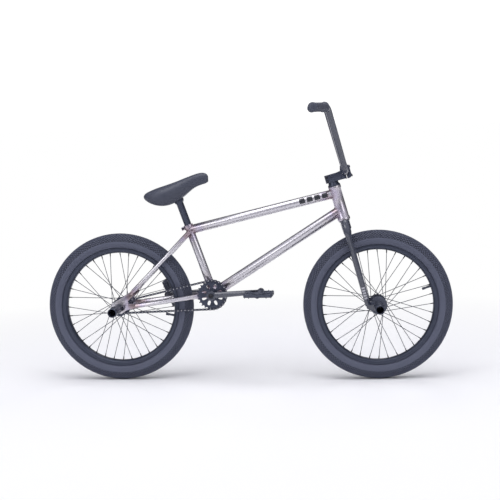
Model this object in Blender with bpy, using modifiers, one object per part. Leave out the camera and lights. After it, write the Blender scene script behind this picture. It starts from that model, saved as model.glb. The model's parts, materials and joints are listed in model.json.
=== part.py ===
"""A 20 inch freestyle BMX bike, built as separate frame tubes, forks, wheels, cranks, chain and saddle.

Metres, +Z up.  +X is the bike's front, +Y its left side, and the drive side faces -Y.  The ground is
z = 0 and x = 0 is midway between the axles.
"""
import math
import bpy
import bmesh
from mathutils import Matrix, Vector

# ---------------------------------------------------------------- driving dimensions
GAP = 0.0003                    # room left between pieces that touch
TYRE_R = 0.260                  # outside radius of a 20 x 2.4 tyre
AXLE_X = 0.454                  # half the wheelbase
BB_HEIGHT = 0.304
HEAD_ANGLE = math.radians(74.8)
SEAT_ANGLE = math.radians(70.8)
FORK_OFFSET = 0.030             # axle ahead of the steering axis
STEER_AT_REST = math.radians(5.0)    # front end turned a little to the bike's left

CHAIN_PITCH = 0.0127
CHAIN_LINKS = 70
SPROCKET_TEETH = 25
COG_TEETH = 9
CHAINLINE = 0.043               # chain's distance from the centre plane
ROLLER_R = 0.0038

CRANK_LENGTH = 0.175
CRANK_ANGLE = math.radians(4.2)      # right arm forward and slightly up
PEDAL_TILT_LEFT = math.radians(67.0)

REAR_SPACING = 0.110            # between the frame's dropouts
FRONT_SPACING = 0.100           # between the fork's dropouts
DROPOUT_THICK = 0.006
AXLE_R = 0.007
FRONT_AXLE_R = 0.0048

HEAD_TUBE_LOW = 0.3155          # heights along the steering axis, from the front axle's level
HEAD_TUBE_TOP = 0.4375
HEAD_TUBE_R = 0.0200
HEAD_FLARE_R = 0.0222
STEERER_R = 0.01429
TOP_TUBE_R = 0.0159
DOWN_TUBE_R = 0.01745
SEAT_TUBE_R = 0.0143
SEAT_TUBE_TOP = 0.2425          # along the seat tube from the bottom bracket
CLAMP_TOP = 0.2580
POST_R = 0.0127
SADDLE_PIVOT = 0.3500           # along the seat tube from the bottom bracket
BB_SHELL_R = 0.0245
BB_SHELL_HALF = 0.0365
SPINDLE_R = 0.0095
PEDAL_SPINDLE_R = 0.0048

BAR_R = 0.0111
BAR_REACH = 0.0505              # bar centre ahead of the steering axis
BAR_LOW = 0.4736                # bar centre's height along the steering axis
BAR_RISE = 0.233
BAR_BEND_Y = 0.195              # the top bend's corner, from the centre plane
CROSSBAR_HEIGHT = 0.105         # above the bar's clamped middle
BAR_HALF_WIDTH = 0.3685
GRIP_LENGTH = 0.1440
BACKSWEEP = math.radians(15.3)
UPSWEEP = math.radians(3.9)

RIM_INNER_R = 0.1922
PEG_R = 0.0163
PEG_END = 0.1665                # outer end's distance from the centre plane
SPOKES_PER_SIDE = 18

# ---------------------------------------------------------------- looks
LOOKS = {
    "raw_steel": ((0.62, 0.60, 0.66), 0.28, 1.0),
    "black_paint": ((0.012, 0.013, 0.016), 0.22, 0.0),
    "black_metal": ((0.020, 0.021, 0.025), 0.38, 0.7),
    "black_plastic": ((0.016, 0.017, 0.020), 0.55, 0.0),
    "black_rubber": ((0.018, 0.018, 0.020), 0.75, 0.0),
    "bearing_steel": ((0.45, 0.45, 0.47), 0.30, 1.0),
}


def clear_scene():
    for obj in list(bpy.data.objects):
        bpy.data.objects.remove(obj, do_unlink=True)


def new_collection(name):
    collection = bpy.data.collections.new(name)
    bpy.context.scene.collection.children.link(collection)
    return collection


clear_scene()
BIKE = new_collection("bmx_bike")
CUTTERS = new_collection("cutters")


def make_material(name):
    colour, roughness, metallic = LOOKS[name]
    material = bpy.data.materials.new(name)
    material.use_nodes = True
    shader = material.node_tree.nodes["Principled BSDF"]
    shader.inputs["Base Color"].default_value = (*colour, 1.0)
    shader.inputs["Roughness"].default_value = roughness
    shader.inputs["Metallic"].default_value = metallic
    material.diffuse_color = (*colour, 1.0)
    return material


MATERIALS = {name: make_material(name) for name in LOOKS}


# ---------------------------------------------------------------- modelling helpers
def new_empty(name, matrix, parent=None):
    empty = bpy.data.objects.new(name, None)
    BIKE.objects.link(empty)
    empty.parent = parent
    empty.matrix_basis = matrix
    return empty


def new_object(name, data, look, parent, matrix=Matrix.Identity(4)):
    """Links data as a part of the bike; a look of None makes it a cutter."""
    obj = bpy.data.objects.new(name, data)
    obj.parent = parent
    obj.matrix_basis = matrix
    if look is None:
        CUTTERS.objects.link(obj)
        obj.hide_render = True
        obj.display_type = "WIRE"
    else:
        BIKE.objects.link(obj)
        data.materials.append(MATERIALS[look])
    return obj


def smooth(mesh, angle=35.0):
    mesh.shade_smooth()
    mesh.set_sharp_from_angle(angle=math.radians(angle))


def clear_of(radius, sides):
    """A faceted hole's corner radius whose flats stay a gap away from a shaft of this radius."""
    return (radius + GAP) / math.cos(math.pi / sides)


def along(start, end):
    """A matrix at start whose +Z points to end."""
    start = Vector(start)
    direction = Vector(end) - start
    turn = direction.to_track_quat("Z", "Y").to_matrix().to_4x4()
    return Matrix.Translation(start) @ turn


SIDEWAYS = Matrix.Rotation(math.pi / 2, 4, "X")     # local +Z to the bike's right, local +Y up


def rod(name, start, end, look, radius, end_radius=None, parent=None, sides=16):
    """A round bar or cone from start to end."""
    length = (Vector(end) - Vector(start)).length
    bm = bmesh.new()
    bmesh.ops.create_cone(bm, cap_ends=True, segments=sides, radius1=radius,
                          radius2=radius if end_radius is None else end_radius, depth=length,
                          matrix=Matrix.Translation((0, 0, length / 2)))
    mesh = bpy.data.meshes.new(name)
    bm.to_mesh(mesh)
    bm.free()
    smooth(mesh)
    return new_object(name, mesh, look, parent, along(start, end))


def box_cutter(name, size, parent=None, matrix=Matrix.Identity(4)):
    bm = bmesh.new()
    bmesh.ops.create_cube(bm, size=1.0, matrix=Matrix.Diagonal((*size, 1.0)))
    mesh = bpy.data.meshes.new(name)
    bm.to_mesh(mesh)
    bm.free()
    return new_object(name, mesh, None, parent, matrix)


def turned(name, profile, look, parent=None, matrix=Matrix.Identity(4), sides=16, ring=False):
    """Turns a profile of (radius, height) about local Z; it runs down the outer side."""
    mesh = bpy.data.meshes.new(name)
    count = len(profile)
    edges = [(i, i + 1) for i in range(count - 1)]
    if ring:
        edges.append((count - 1, 0))
    mesh.from_pydata([(r, 0.0, z) for r, z in profile], edges, [])
    obj = new_object(name, mesh, look, parent, matrix)
    screw = obj.modifiers.new("turn", "SCREW")
    screw.axis = "Z"
    screw.steps = sides
    screw.render_steps = sides
    screw.use_merge_vertices = True
    screw.merge_threshold = 0.00001
    screw.use_smooth_shade = True
    return obj


def flat_plate(name, outline, thickness, look, parent=None, matrix=Matrix.Identity(4), holes=()):
    """A flat outline in local XY, centred on z = 0."""
    curve = bpy.data.curves.new(name, "CURVE")
    curve.dimensions = "2D"
    curve.fill_mode = "BOTH"
    curve.extrude = thickness / 2
    for loop in (outline, *holes):
        spline = curve.splines.new("POLY")
        spline.points.add(len(loop) - 1)
        spline.use_cyclic_u = True
        for point, (x, y) in zip(spline.points, loop):
            point.co = (x, y, 0.0, 1.0)
    return new_object(name, curve, look, parent, matrix)


def pipe(name, points, radius, look, parent=None, scales=None, resolution=3):
    """A round tube along points; scales gives each point its share of the radius."""
    curve = bpy.data.curves.new(name, "CURVE")
    curve.dimensions = "3D"
    curve.bevel_depth = radius
    curve.bevel_resolution = resolution
    curve.use_fill_caps = True
    spline = curve.splines.new("POLY")
    spline.points.add(len(points) - 1)
    for i, (point, place) in enumerate(zip(spline.points, points)):
        point.co = (*place, 1.0)
        point.radius = 1.0 if scales is None else scales[i]
    return new_object(name, curve, look, parent)


def as_mesh(obj, angle=35.0):
    """Replaces a curve by its welded mesh so that it can be cut or joined."""
    bpy.context.view_layer.update()
    evaluated = obj.evaluated_get(bpy.context.evaluated_depsgraph_get())
    mesh = bpy.data.meshes.new_from_object(evaluated)
    bm = bmesh.new()
    bm.from_mesh(mesh)
    bmesh.ops.remove_doubles(bm, verts=bm.verts, dist=0.00001)
    bmesh.ops.recalc_face_normals(bm, faces=bm.faces)
    bm.to_mesh(mesh)
    bm.free()
    smooth(mesh, angle)
    name, parent, basis = obj.name, obj.parent, obj.matrix_basis.copy()
    is_cutter = obj.hide_render
    bpy.data.objects.remove(obj, do_unlink=True)
    solid = bpy.data.objects.new(name, mesh)
    solid.parent = parent
    solid.matrix_basis = basis
    (CUTTERS if is_cutter else BIKE).objects.link(solid)
    if is_cutter:
        solid.hide_render = True
        solid.display_type = "WIRE"
    return solid


def boolean(obj, other, operation):
    modifier = obj.modifiers.new(operation.lower() + "_" + other.name, "BOOLEAN")
    modifier.operation = operation
    modifier.solver = "EXACT"
    modifier.object = other


def cut(obj, *cutters):
    for cutter in cutters:
        boolean(obj, cutter, "DIFFERENCE")


def join(obj, *others):
    for other in others:
        boolean(obj, other, "UNION")


def arc(centre, radius, start, end, steps):
    """Points on an arc in a plane, angles in degrees."""
    angles = [math.radians(start + (end - start) * i / steps) for i in range(steps + 1)]
    return [(centre[0] + radius * math.cos(a), centre[1] + radius * math.sin(a)) for a in angles]


def bent_path(corners, radii, steps=5):
    """A path through corners, each inner corner rounded to its bend radius."""
    path = [Vector(corners[0])]
    for i, radius in enumerate(radii, start=1):
        corner = Vector(corners[i])
        back = (Vector(corners[i - 1]) - corner).normalized()
        ahead = (Vector(corners[i + 1]) - corner).normalized()
        half = back.angle(ahead) / 2
        reach = radius / math.tan(half)
        centre = corner + (back + ahead).normalized() * (radius / math.sin(half))
        first = (corner + back * reach - centre).normalized()
        last = (corner + ahead * reach - centre).normalized()
        for k in range(steps + 1):
            path.append(centre + radius * first.slerp(last, k / steps))
    path.append(Vector(corners[-1]))
    return path


def mirrored(point, side):
    """The point moved to the bike's side: -1 is the right (drive) side, +1 the left."""
    return (point[0], point[1] * side, point[2])


SIDES = {"right": -1, "left": 1}

# ---------------------------------------------------------------- reference frames
SEAT_DIR = Vector((-math.cos(SEAT_ANGLE), 0.0, math.sin(SEAT_ANGLE)))
STEER_UP = Vector((-math.cos(HEAD_ANGLE), 0.0, math.sin(HEAD_ANGLE)))
STEER_FORWARD = Vector((math.sin(HEAD_ANGLE), 0.0, math.cos(HEAD_ANGLE)))
REAR_AXLE = Vector((-AXLE_X, 0.0, TYRE_R))
FRONT_AXLE = Vector((AXLE_X, 0.0, TYRE_R))
STEER_FOOT = FRONT_AXLE - FORK_OFFSET * STEER_FORWARD
SPROCKET_R = CHAIN_PITCH / (2 * math.sin(math.pi / SPROCKET_TEETH))
COG_R = CHAIN_PITCH / (2 * math.sin(math.pi / COG_TEETH))


def chain_route(distance):
    """The taut chain's straight and round stretches round both toothed wheels, in the XZ plane.

    Returns the route as a function of the length run from where the upper run leaves the sprocket.
    """
    rise = math.asin((BB_HEIGHT - TYRE_R) / distance)
    spread = math.asin((SPROCKET_R - COG_R) / distance)
    upper = rise + math.pi / 2 + spread
    lower = rise - math.pi / 2 - spread
    run = math.sqrt(distance**2 - (SPROCKET_R - COG_R)**2)
    cog = Vector((REAR_AXLE.x, REAR_AXLE.z))
    sprocket = cog + distance * Vector((math.cos(rise), math.sin(rise)))
    cog_wrap = COG_R * (lower + 2 * math.pi - upper)

    def unit(angle):
        return Vector((math.cos(angle), math.sin(angle)))

    def point(length):
        if length <= run:
            return (sprocket + SPROCKET_R * unit(upper)).lerp(cog + COG_R * unit(upper), length / run)
        length -= run
        if length <= cog_wrap:
            return cog + COG_R * unit(upper + length / COG_R)
        length -= cog_wrap
        if length <= run:
            return (cog + COG_R * unit(lower)).lerp(sprocket + SPROCKET_R * unit(lower), length / run)
        return sprocket + SPROCKET_R * unit(lower + (length - run) / SPROCKET_R)

    return point, upper


def walk_chain(distance):
    """Pin centres a pitch apart along the route, and where the pin after the last would be."""
    point, upper = chain_route(distance)
    pins = [point(0.0)]
    length = 0.0
    for _ in range(CHAIN_LINKS):
        low, high = length, length + 1.5 * CHAIN_PITCH
        for _ in range(40):
            middle = (low + high) / 2
            if (point(middle) - pins[-1]).length < CHAIN_PITCH:
                low = middle
            else:
                high = middle
        length = low
        pins.append(point(length))
    start = pins[0]
    after = pins.pop()
    ahead = Vector((-math.sin(upper), math.cos(upper)))
    return pins, (after - start).dot(ahead), upper


def solve_chainstay():
    """The centre distance at which the chain closes with its whole number of links."""
    low, high = 0.330, 0.341
    for _ in range(50):
        middle = (low + high) / 2
        if walk_chain(middle)[1] > 0.0:
            low = middle
        else:
            high = middle
    return low


CHAINSTAY = solve_chainstay()
CHAIN_PINS, _, CHAIN_START = walk_chain(CHAINSTAY)
BB_X = REAR_AXLE.x + math.sqrt(CHAINSTAY**2 - (BB_HEIGHT - TYRE_R)**2)
BB = Vector((BB_X, 0.0, BB_HEIGHT))


def on_seat_tube(distance, sideways=0.0):
    return BB + SEAT_DIR * distance + Vector((0.0, sideways, 0.0))


def on_head_tube(height):
    return STEER_FOOT + STEER_UP * height


HEAD_AXES = Matrix((STEER_FORWARD, (0.0, 1.0, 0.0), STEER_UP)).transposed()
HEAD_FRAME = Matrix.Translation(STEER_FOOT) @ HEAD_AXES.to_4x4()
STEERING = new_empty("steering_axis", HEAD_FRAME @ Matrix.Rotation(STEER_AT_REST, 4, "Z"))
UPRIGHT = Matrix.Rotation(math.pi / 2 - HEAD_ANGLE, 4, "Y")
FRONT_WHEEL = new_empty("front_wheel_axis", Matrix.Translation((FORK_OFFSET, 0, 0)) @ UPRIGHT, STEERING)
REAR_WHEEL = new_empty("rear_wheel_axis", Matrix.Translation(REAR_AXLE))
CRANK = new_empty("crank_axis", Matrix.Translation(BB) @ Matrix.Rotation(-CRANK_ANGLE, 4, "Y"))
PEDAL_RIGHT = new_empty(
    "pedal_right_axis",
    Matrix.Translation((CRANK_LENGTH, 0, 0)) @ Matrix.Rotation(CRANK_ANGLE, 4, "Y"), CRANK)
PEDAL_LEFT = new_empty(
    "pedal_left_axis",
    Matrix.Translation((-CRANK_LENGTH, 0, 0)) @ Matrix.Rotation(CRANK_ANGLE + PEDAL_TILT_LEFT, 4, "Y"),
    CRANK)


# ---------------------------------------------------------------- main frame tubes
def head_tube_profile(grow):
    """The head tube's outer side; grow widens it for the cutter that mitres the other tubes."""
    neck = 0.0085
    return [
        (HEAD_FLARE_R + grow, HEAD_TUBE_TOP),
        (HEAD_FLARE_R + grow, HEAD_TUBE_TOP - neck),
        (HEAD_TUBE_R + grow, HEAD_TUBE_TOP - neck - 0.003),
        (HEAD_TUBE_R + grow, HEAD_TUBE_LOW + neck + 0.003),
        (HEAD_FLARE_R + grow, HEAD_TUBE_LOW + neck),
        (HEAD_FLARE_R + grow, HEAD_TUBE_LOW),
    ]


BEARING_SEAT_R = 0.0208
BEARING_DEPTH = 0.0085
HEAD_SIDES = 20


def build_head_tube():
    bore = 0.0168
    inner = [
        (BEARING_SEAT_R, HEAD_TUBE_LOW),
        (BEARING_SEAT_R, HEAD_TUBE_LOW + BEARING_DEPTH),
        (bore, HEAD_TUBE_LOW + BEARING_DEPTH),
        (bore, HEAD_TUBE_TOP - BEARING_DEPTH),
        (BEARING_SEAT_R, HEAD_TUBE_TOP - BEARING_DEPTH),
        (BEARING_SEAT_R, HEAD_TUBE_TOP),
    ]
    turned("head_tube", head_tube_profile(0.0) + inner, "raw_steel", None, HEAD_FRAME, HEAD_SIDES, ring=True)
    for name, low, high in (
            ("headset_bearing_lower", HEAD_TUBE_LOW - 0.0004, HEAD_TUBE_LOW + BEARING_DEPTH - GAP),
            ("headset_bearing_upper", HEAD_TUBE_TOP - BEARING_DEPTH + GAP, HEAD_TUBE_TOP)):
        outer = BEARING_SEAT_R - GAP
        ring = [(outer, high), (outer, low), (0.0150, low), (0.0150, high)]
        turned(name, ring, "bearing_steel", None, HEAD_FRAME, HEAD_SIDES, ring=True)


def envelope(name, profile, matrix, sides=16):
    """A solid cutter the size of a tube with the gap round it."""
    closed = [(0.0, profile[0][1])] + profile + [(0.0, profile[-1][1])]
    return turned(name, closed, None, None, matrix, sides)


SEAT_FRAME = along(BB, BB + SEAT_DIR)
BB_FRAME = Matrix.Translation(BB) @ SIDEWAYS
HEAD_CUTTER = envelope("head_tube_envelope", head_tube_profile(GAP), HEAD_FRAME, HEAD_SIDES)
SEAT_CUTTER = envelope("seat_tube_envelope", [(SEAT_TUBE_R + GAP, 0.30), (SEAT_TUBE_R + GAP, 0.0)],
                       SEAT_FRAME)
BB_CUTTER = envelope("bb_shell_envelope", [(BB_SHELL_R + GAP, BB_SHELL_HALF + 0.008),
                                           (BB_SHELL_R + GAP, -BB_SHELL_HALF - 0.008)], BB_FRAME)

TOP_TUBE_SEAT_END = on_seat_tube(0.2385)
TOP_TUBE_HEAD_END = on_head_tube(0.4125)
DOWN_TUBE_HEAD_END = on_head_tube(0.3520)


def build_main_triangle():
    top = rod("top_tube", TOP_TUBE_SEAT_END, TOP_TUBE_HEAD_END, "raw_steel", TOP_TUBE_R, sides=20)
    cut(top, SEAT_CUTTER, HEAD_CUTTER)

    down = rod("down_tube", BB, DOWN_TUBE_HEAD_END, "raw_steel", DOWN_TUBE_R, sides=20)
    cut(down, BB_CUTTER, SEAT_CUTTER, HEAD_CUTTER)

    bore = clear_of(POST_R, 16)
    seat = turned("seat_tube", [
        (SEAT_TUBE_R, SEAT_TUBE_TOP), (SEAT_TUBE_R, 0.0), (0.0, 0.0),
        (0.0, 0.100), (bore, 0.106), (bore, SEAT_TUBE_TOP)], "raw_steel", None, SEAT_FRAME, ring=True)
    cut(seat, BB_CUTTER)

    shell_bore = 0.0206
    turned("bb_shell", [
        (BB_SHELL_R, BB_SHELL_HALF), (BB_SHELL_R, -BB_SHELL_HALF),
        (shell_bore, -BB_SHELL_HALF), (shell_bore, BB_SHELL_HALF)], "raw_steel", None, BB_FRAME, ring=True)
    for name, side in SIDES.items():
        # a bearing pressed into the shell, with its dust cover standing proud
        hole = clear_of(SPINDLE_R, 16)
        profile = [
            (hole, 0.0395), (0.0130, 0.0395), (0.0185, 0.0372), (shell_bore - GAP, 0.0275), (hole, 0.0275)]
        matrix = BB_FRAME @ Matrix.Rotation(0.0 if side < 0 else math.pi, 4, "X")
        turned("bb_bearing_" + name, profile, "black_metal", None, matrix, ring=True)


def build_seat_clamp():
    """The collar welded on top of the seat tube, slit at the back between two bolt ears."""
    outer = 0.0168
    low = SEAT_TUBE_TOP + GAP
    hole = clear_of(POST_R, 16)
    collar = turned("seat_clamp", [
        (outer - 0.001, CLAMP_TOP), (outer, CLAMP_TOP - 0.001), (outer, low), (hole, low),
        (hole, CLAMP_TOP)], "raw_steel", None, SEAT_FRAME, ring=True)
    # the bolt ears are at the bike's back, found in the tube's own frame
    back = SEAT_FRAME.inverted().to_3x3() @ Vector((-1.0, 0.0, 0.0))
    turn = Matrix.Rotation(math.atan2(back.y, back.x), 4, "Z")
    middle = (low + CLAMP_TOP) / 2
    ears = box_cutter("clamp_ears", (0.013, 0.017, 0.0115), None,
                      SEAT_FRAME @ turn @ Matrix.Translation((0.0190, 0.0, middle)))
    slit = box_cutter("clamp_slit", (0.030, 0.0020, 0.040), None,
                      SEAT_FRAME @ turn @ Matrix.Translation((0.0240, 0.0, middle)))
    room = rod("top_tube_envelope", TOP_TUBE_SEAT_END, TOP_TUBE_HEAD_END, None, TOP_TUBE_R + GAP, sides=20)
    bore = envelope("clamp_bore", [(hole, 0.30), (hole, 0.20)], SEAT_FRAME)
    join(collar, ears)
    cut(collar, bore, slit, room)


# ---------------------------------------------------------------- rear stays and dropouts
CHAINSTAY_R = 0.0095
SEATSTAY_R = 0.0080
DROPOUT_Y = REAR_SPACING / 2 + DROPOUT_THICK / 2


def dropout_outline():
    """Axle at the origin, +x forward, +y up: an open slot at the back and a tab into each stay."""
    half = AXLE_R + GAP
    slot = arc((0.012, 0.0), half, 90, -90, 8)
    heel = arc((-0.014, -0.008), 0.010, 180, 270, 3)
    crest = arc((-0.012, 0.010), 0.012, 100, 180, 3)
    return [
        (-0.024, half), *slot, (-0.024, -half), *heel,
        (0.012, -0.0180), (0.030, -0.0060), (0.066, 0.0030),
        (0.066, 0.0155), (0.038, 0.0165), (0.036, 0.0270),
        (0.0560, 0.0470), (0.0465, 0.0565), *crest,
    ]


CHAINSTAY_PATH = [(BB.x, 0.0268, BB.z), (-0.166, 0.0285, 0.2985), (-0.222, 0.0430, 0.2910),
                  (-0.392, DROPOUT_Y, 0.2690)]
SEATSTAY_PATH = [tuple(on_seat_tube(0.2330, 0.0205)), (-0.2760, 0.0385, 0.4440),
                 (-0.4090, DROPOUT_Y, 0.3110)]


def tapered(path, start_scale, end_scale):
    count = len(path) - 1
    return [start_scale + (end_scale - start_scale) * i / count for i in range(count + 1)]


def build_rear_triangle():
    top_room = rod("top_tube_room", TOP_TUBE_SEAT_END, TOP_TUBE_HEAD_END, None, TOP_TUBE_R + GAP)
    for name, side in SIDES.items():
        at_axle = Matrix.Translation((REAR_AXLE.x, side * DROPOUT_Y, REAR_AXLE.z)) @ SIDEWAYS
        as_mesh(flat_plate("dropout_" + name, dropout_outline(), DROPOUT_THICK, "raw_steel", None, at_axle))
        # the slot in which the dropout's two tabs stand
        slot = Matrix.Translation((REAR_AXLE.x + 0.0380, side * DROPOUT_Y, REAR_AXLE.z + 0.020))
        slot_box = box_cutter("stay_slot_" + name, (0.067, DROPOUT_THICK + 2 * GAP, 0.090), None, slot)

        path = bent_path([mirrored(p, side) for p in CHAINSTAY_PATH], (0.060, 0.060), 3)
        scales = tapered(path, 1.0, 0.84)
        stay = as_mesh(pipe("chainstay_" + name, path, CHAINSTAY_R, "raw_steel", None, scales, 2))
        cut(stay, BB_CUTTER, slot_box)

        path = bent_path([mirrored(p, side) for p in SEATSTAY_PATH], (0.200,), 3)
        scales = tapered(path, 1.0, 0.88)
        stay = as_mesh(pipe("seatstay_" + name, path, SEATSTAY_R, "raw_steel", None, scales, 2))
        cut(stay, SEAT_CUTTER, top_room, slot_box)


# ---------------------------------------------------------------- axles, nuts and pegs
def build_axle(name, parent, matrix, radius, cone_radius, spacing, end):
    """An axle with the two locknuts that sit against the dropouts' inner faces."""
    inside = spacing / 2 - GAP
    turned(name, [
        (0.0, end), (radius, end), (radius, inside),
        (cone_radius, inside), (cone_radius, inside - 0.0045), (radius, inside - 0.0045),
        (radius, -inside + 0.0045), (cone_radius, -inside + 0.0045), (cone_radius, -inside),
        (radius, -inside), (radius, -end), (0.0, -end)],
        "bearing_steel", parent, matrix, 12)


def build_peg_and_nut(prefix, side_name, side, parent, matrix, axle_radius, face):
    """A hollow peg seated on the dropout's outer face at distance face, with its nut inside."""
    outward = matrix @ Matrix.Rotation(0.0 if side < 0 else math.pi, 4, "X")
    base = face + GAP
    floor = base + 0.0085
    hole = clear_of(axle_radius, 16)
    turned(prefix + "_peg_" + side_name, [
        (PEG_R - 0.0012, PEG_END), (PEG_R, PEG_END - 0.0012), (PEG_R, base), (hole, base), (hole, floor),
        (0.0130, floor), (0.0130, PEG_END)],
        "black_metal", parent, outward, 16, ring=True)
    nut_low = floor + GAP
    bore = clear_of(axle_radius, 6)
    turned(prefix + "_axle_nut_" + side_name, [
        (bore + 0.0035, nut_low + 0.0080), (bore + 0.0035, nut_low),
        (bore, nut_low), (bore, nut_low + 0.0080)],
        "bearing_steel", parent, outward, 6, ring=True)


def build_axles():
    rear = Matrix.Translation(REAR_AXLE) @ SIDEWAYS
    front = Matrix.Translation((FORK_OFFSET, 0, 0)) @ SIDEWAYS
    rear_face = REAR_SPACING / 2 + DROPOUT_THICK
    front_face = FRONT_SPACING / 2 + FORK_TIP_THICK
    build_axle("rear_axle", None, rear, AXLE_R, 0.0110, REAR_SPACING, 0.0815)
    build_axle("front_axle", STEERING, front, FRONT_AXLE_R, 0.0090, FRONT_SPACING, 0.0770)
    for name, side in SIDES.items():
        build_peg_and_nut("rear", name, side, None, rear, AXLE_R, rear_face)
        build_peg_and_nut("front", name, side, STEERING, front, FRONT_AXLE_R, front_face)
        outward = front @ Matrix.Rotation(0.0 if side < 0 else math.pi, 4, "X")
        outer = FRONT_SPACING / 2 - 0.0045 - 2 * GAP
        hole = clear_of(FRONT_AXLE_R, 20)
        turned("front_hub_guard_" + name, [
            (0.0150, outer), (0.0305, outer - 0.0030), (0.0315, outer - 0.0060), (0.0150, outer - 0.0028),
            (hole, outer - 0.0028), (hole, outer)],
            "black_plastic", STEERING, outward, 20, ring=True)


# ---------------------------------------------------------------- fork
FORK_TIP_THICK = 0.0065
LEG_PATH = [(0.000, 0.0290, 0.3120), (-0.002, 0.0465, 0.2660), (-0.004, 0.0560, 0.0120)]
LEG_R = 0.0150


def steerer_profile():
    return [
        (0.0, 0.4780), (STEERER_R, 0.4780), (STEERER_R, HEAD_TUBE_LOW - 0.0008),
        (0.0195, HEAD_TUBE_LOW - 0.0008), (0.0195, HEAD_TUBE_LOW - 0.0040),
        (0.0165, HEAD_TUBE_LOW - 0.0060), (0.0165, 0.2820), (0.0145, 0.2800), (0.0, 0.2800)]


def tip_outline():
    """The fork's dropout: axle at the origin, slot open below, neck back to the leg."""
    half = FRONT_AXLE_R + GAP
    back = LEG_PATH[-1][0] - FORK_OFFSET
    nose = arc((0.0, 0.0), 0.0160, -60, 110, 8)
    top = arc((0.0, 0.0), half, 180, 0, 6)
    return [
        (half, -0.0140), *nose, (back + 0.0085, 0.0260), (back + 0.0085, 0.0400), (back - 0.0070, 0.0400),
        (back - 0.0070, 0.0020), (back + 0.0060, -0.0080), (-half, -0.0150), *top]


def build_fork():
    turned("fork_steerer", steerer_profile(), "black_paint", STEERING)
    room = [(r + GAP, z) for r, z in steerer_profile()[1:-1]]
    for name, side in SIDES.items():
        path = bent_path([mirrored(p, side) for p in LEG_PATH], (0.045,), 4)
        leg = pipe("fork_leg_" + name, path, LEG_R, "black_paint", STEERING, tapered(path, 1.0, 0.66), 3)
        leg = as_mesh(leg)
        centre = FRONT_SPACING / 2 + FORK_TIP_THICK / 2
        tip = flat_plate("fork_tip_" + name, tip_outline(), FORK_TIP_THICK, None, STEERING,
                         Matrix.Translation((FORK_OFFSET, side * centre, 0.0)) @ SIDEWAYS)
        tip = as_mesh(tip)
        crown = envelope("crown_room_" + name, room, Matrix.Identity(4))
        crown.parent = STEERING
        join(leg, tip)
        cut(leg, crown)


# ---------------------------------------------------------------- headset cover and stem
STEM_LOW = 0.4530
STEM_HIGH = 0.4800
CLAMP_HALF = 0.0225
STEM_WIDTH = 0.0520


def build_stem():
    base = HEAD_TUBE_TOP + GAP
    bore = clear_of(STEERER_R, HEAD_SIDES)
    turned("headset_cover", [
        (0.0175, STEM_LOW - GAP), (0.0180, base + 0.0085), (0.0215, base + 0.0040),
        (0.0218, base), (bore, base), (bore, STEM_LOW - GAP)],
        "black_metal", STEERING, sides=HEAD_SIDES, ring=True)

    outline = [
        (-0.0245, STEM_LOW), (0.0420, STEM_LOW), (BAR_REACH - 0.0012, BAR_LOW - CLAMP_HALF),
        (BAR_REACH - 0.0012, BAR_LOW + CLAMP_HALF + 0.002), (0.0375, BAR_LOW + CLAMP_HALF + 0.002),
        (0.0330, STEM_HIGH + 0.0020), (0.0200, STEM_HIGH), (-0.0245, STEM_HIGH)]
    body = flat_plate("stem_body", outline, STEM_WIDTH, "black_metal", STEERING, SIDEWAYS)
    body = as_mesh(body)
    waist = 0.0085
    for name, side in SIDES.items():
        # the body narrows behind the bar clamp
        shave = box_cutter("stem_waist_" + name, (0.0680, waist * 2, 0.060), STEERING,
                           Matrix.Translation((0.0, side * STEM_WIDTH / 2, STEM_LOW + 0.015)))
        cut(body, shave)
    steerer_hole = rod("stem_steerer_hole", (0, 0, 0.40), (0, 0, 0.55), None, clear_of(STEERER_R, 16),
                       parent=STEERING)
    bar_hole = rod("stem_bar_hole", (BAR_REACH, -0.05, BAR_LOW), (BAR_REACH, 0.05, BAR_LOW), None,
                   clear_of(BAR_R, 16), parent=STEERING)
    slit = box_cutter("stem_slit", (0.030, 0.0024, 0.060), STEERING,
                      Matrix.Translation((-0.0200, 0.0, STEM_LOW + 0.015)))
    cut(body, steerer_hole, bar_hole, slit)

    half = CLAMP_HALF
    outline = [
        (BAR_REACH + 0.0012, BAR_LOW + half + 0.002), (BAR_REACH + 0.0012, BAR_LOW - half),
        *arc((BAR_REACH + 0.0080, BAR_LOW - half + 0.0100), 0.0100, -80, -20, 2),
        *arc((BAR_REACH + 0.0080, BAR_LOW + half - 0.0080), 0.0100, 10, 80, 2)]
    face = as_mesh(flat_plate("stem_front_clamp", outline, STEM_WIDTH, "black_metal", STEERING, SIDEWAYS))
    face_hole = rod("face_bar_hole", (BAR_REACH, -0.05, BAR_LOW), (BAR_REACH, 0.05, BAR_LOW), None,
                    clear_of(BAR_R, 16), parent=STEERING)
    window = box_cutter("face_window", (0.040, 0.022, 0.012), STEERING,
                        Matrix.Translation((BAR_REACH + 0.030, 0.0, BAR_LOW)))
    cut(face, face_hole, window)


# ---------------------------------------------------------------- handlebar and grips
def bar_corners():
    """The bar's left half from the middle: clamp, upright, top bend and swept-back grip."""
    bend = Vector((BAR_REACH, BAR_BEND_Y, BAR_LOW + BAR_RISE))
    direction = Vector((-math.sin(BACKSWEEP), math.cos(BACKSWEEP), math.sin(UPSWEEP))).normalized()
    reach = (BAR_HALF_WIDTH - bend.y) / direction.y
    return [Vector((BAR_REACH, 0.0, BAR_LOW)), Vector((BAR_REACH, 0.0480, BAR_LOW)), bend,
            bend + direction * reach], direction


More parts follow.
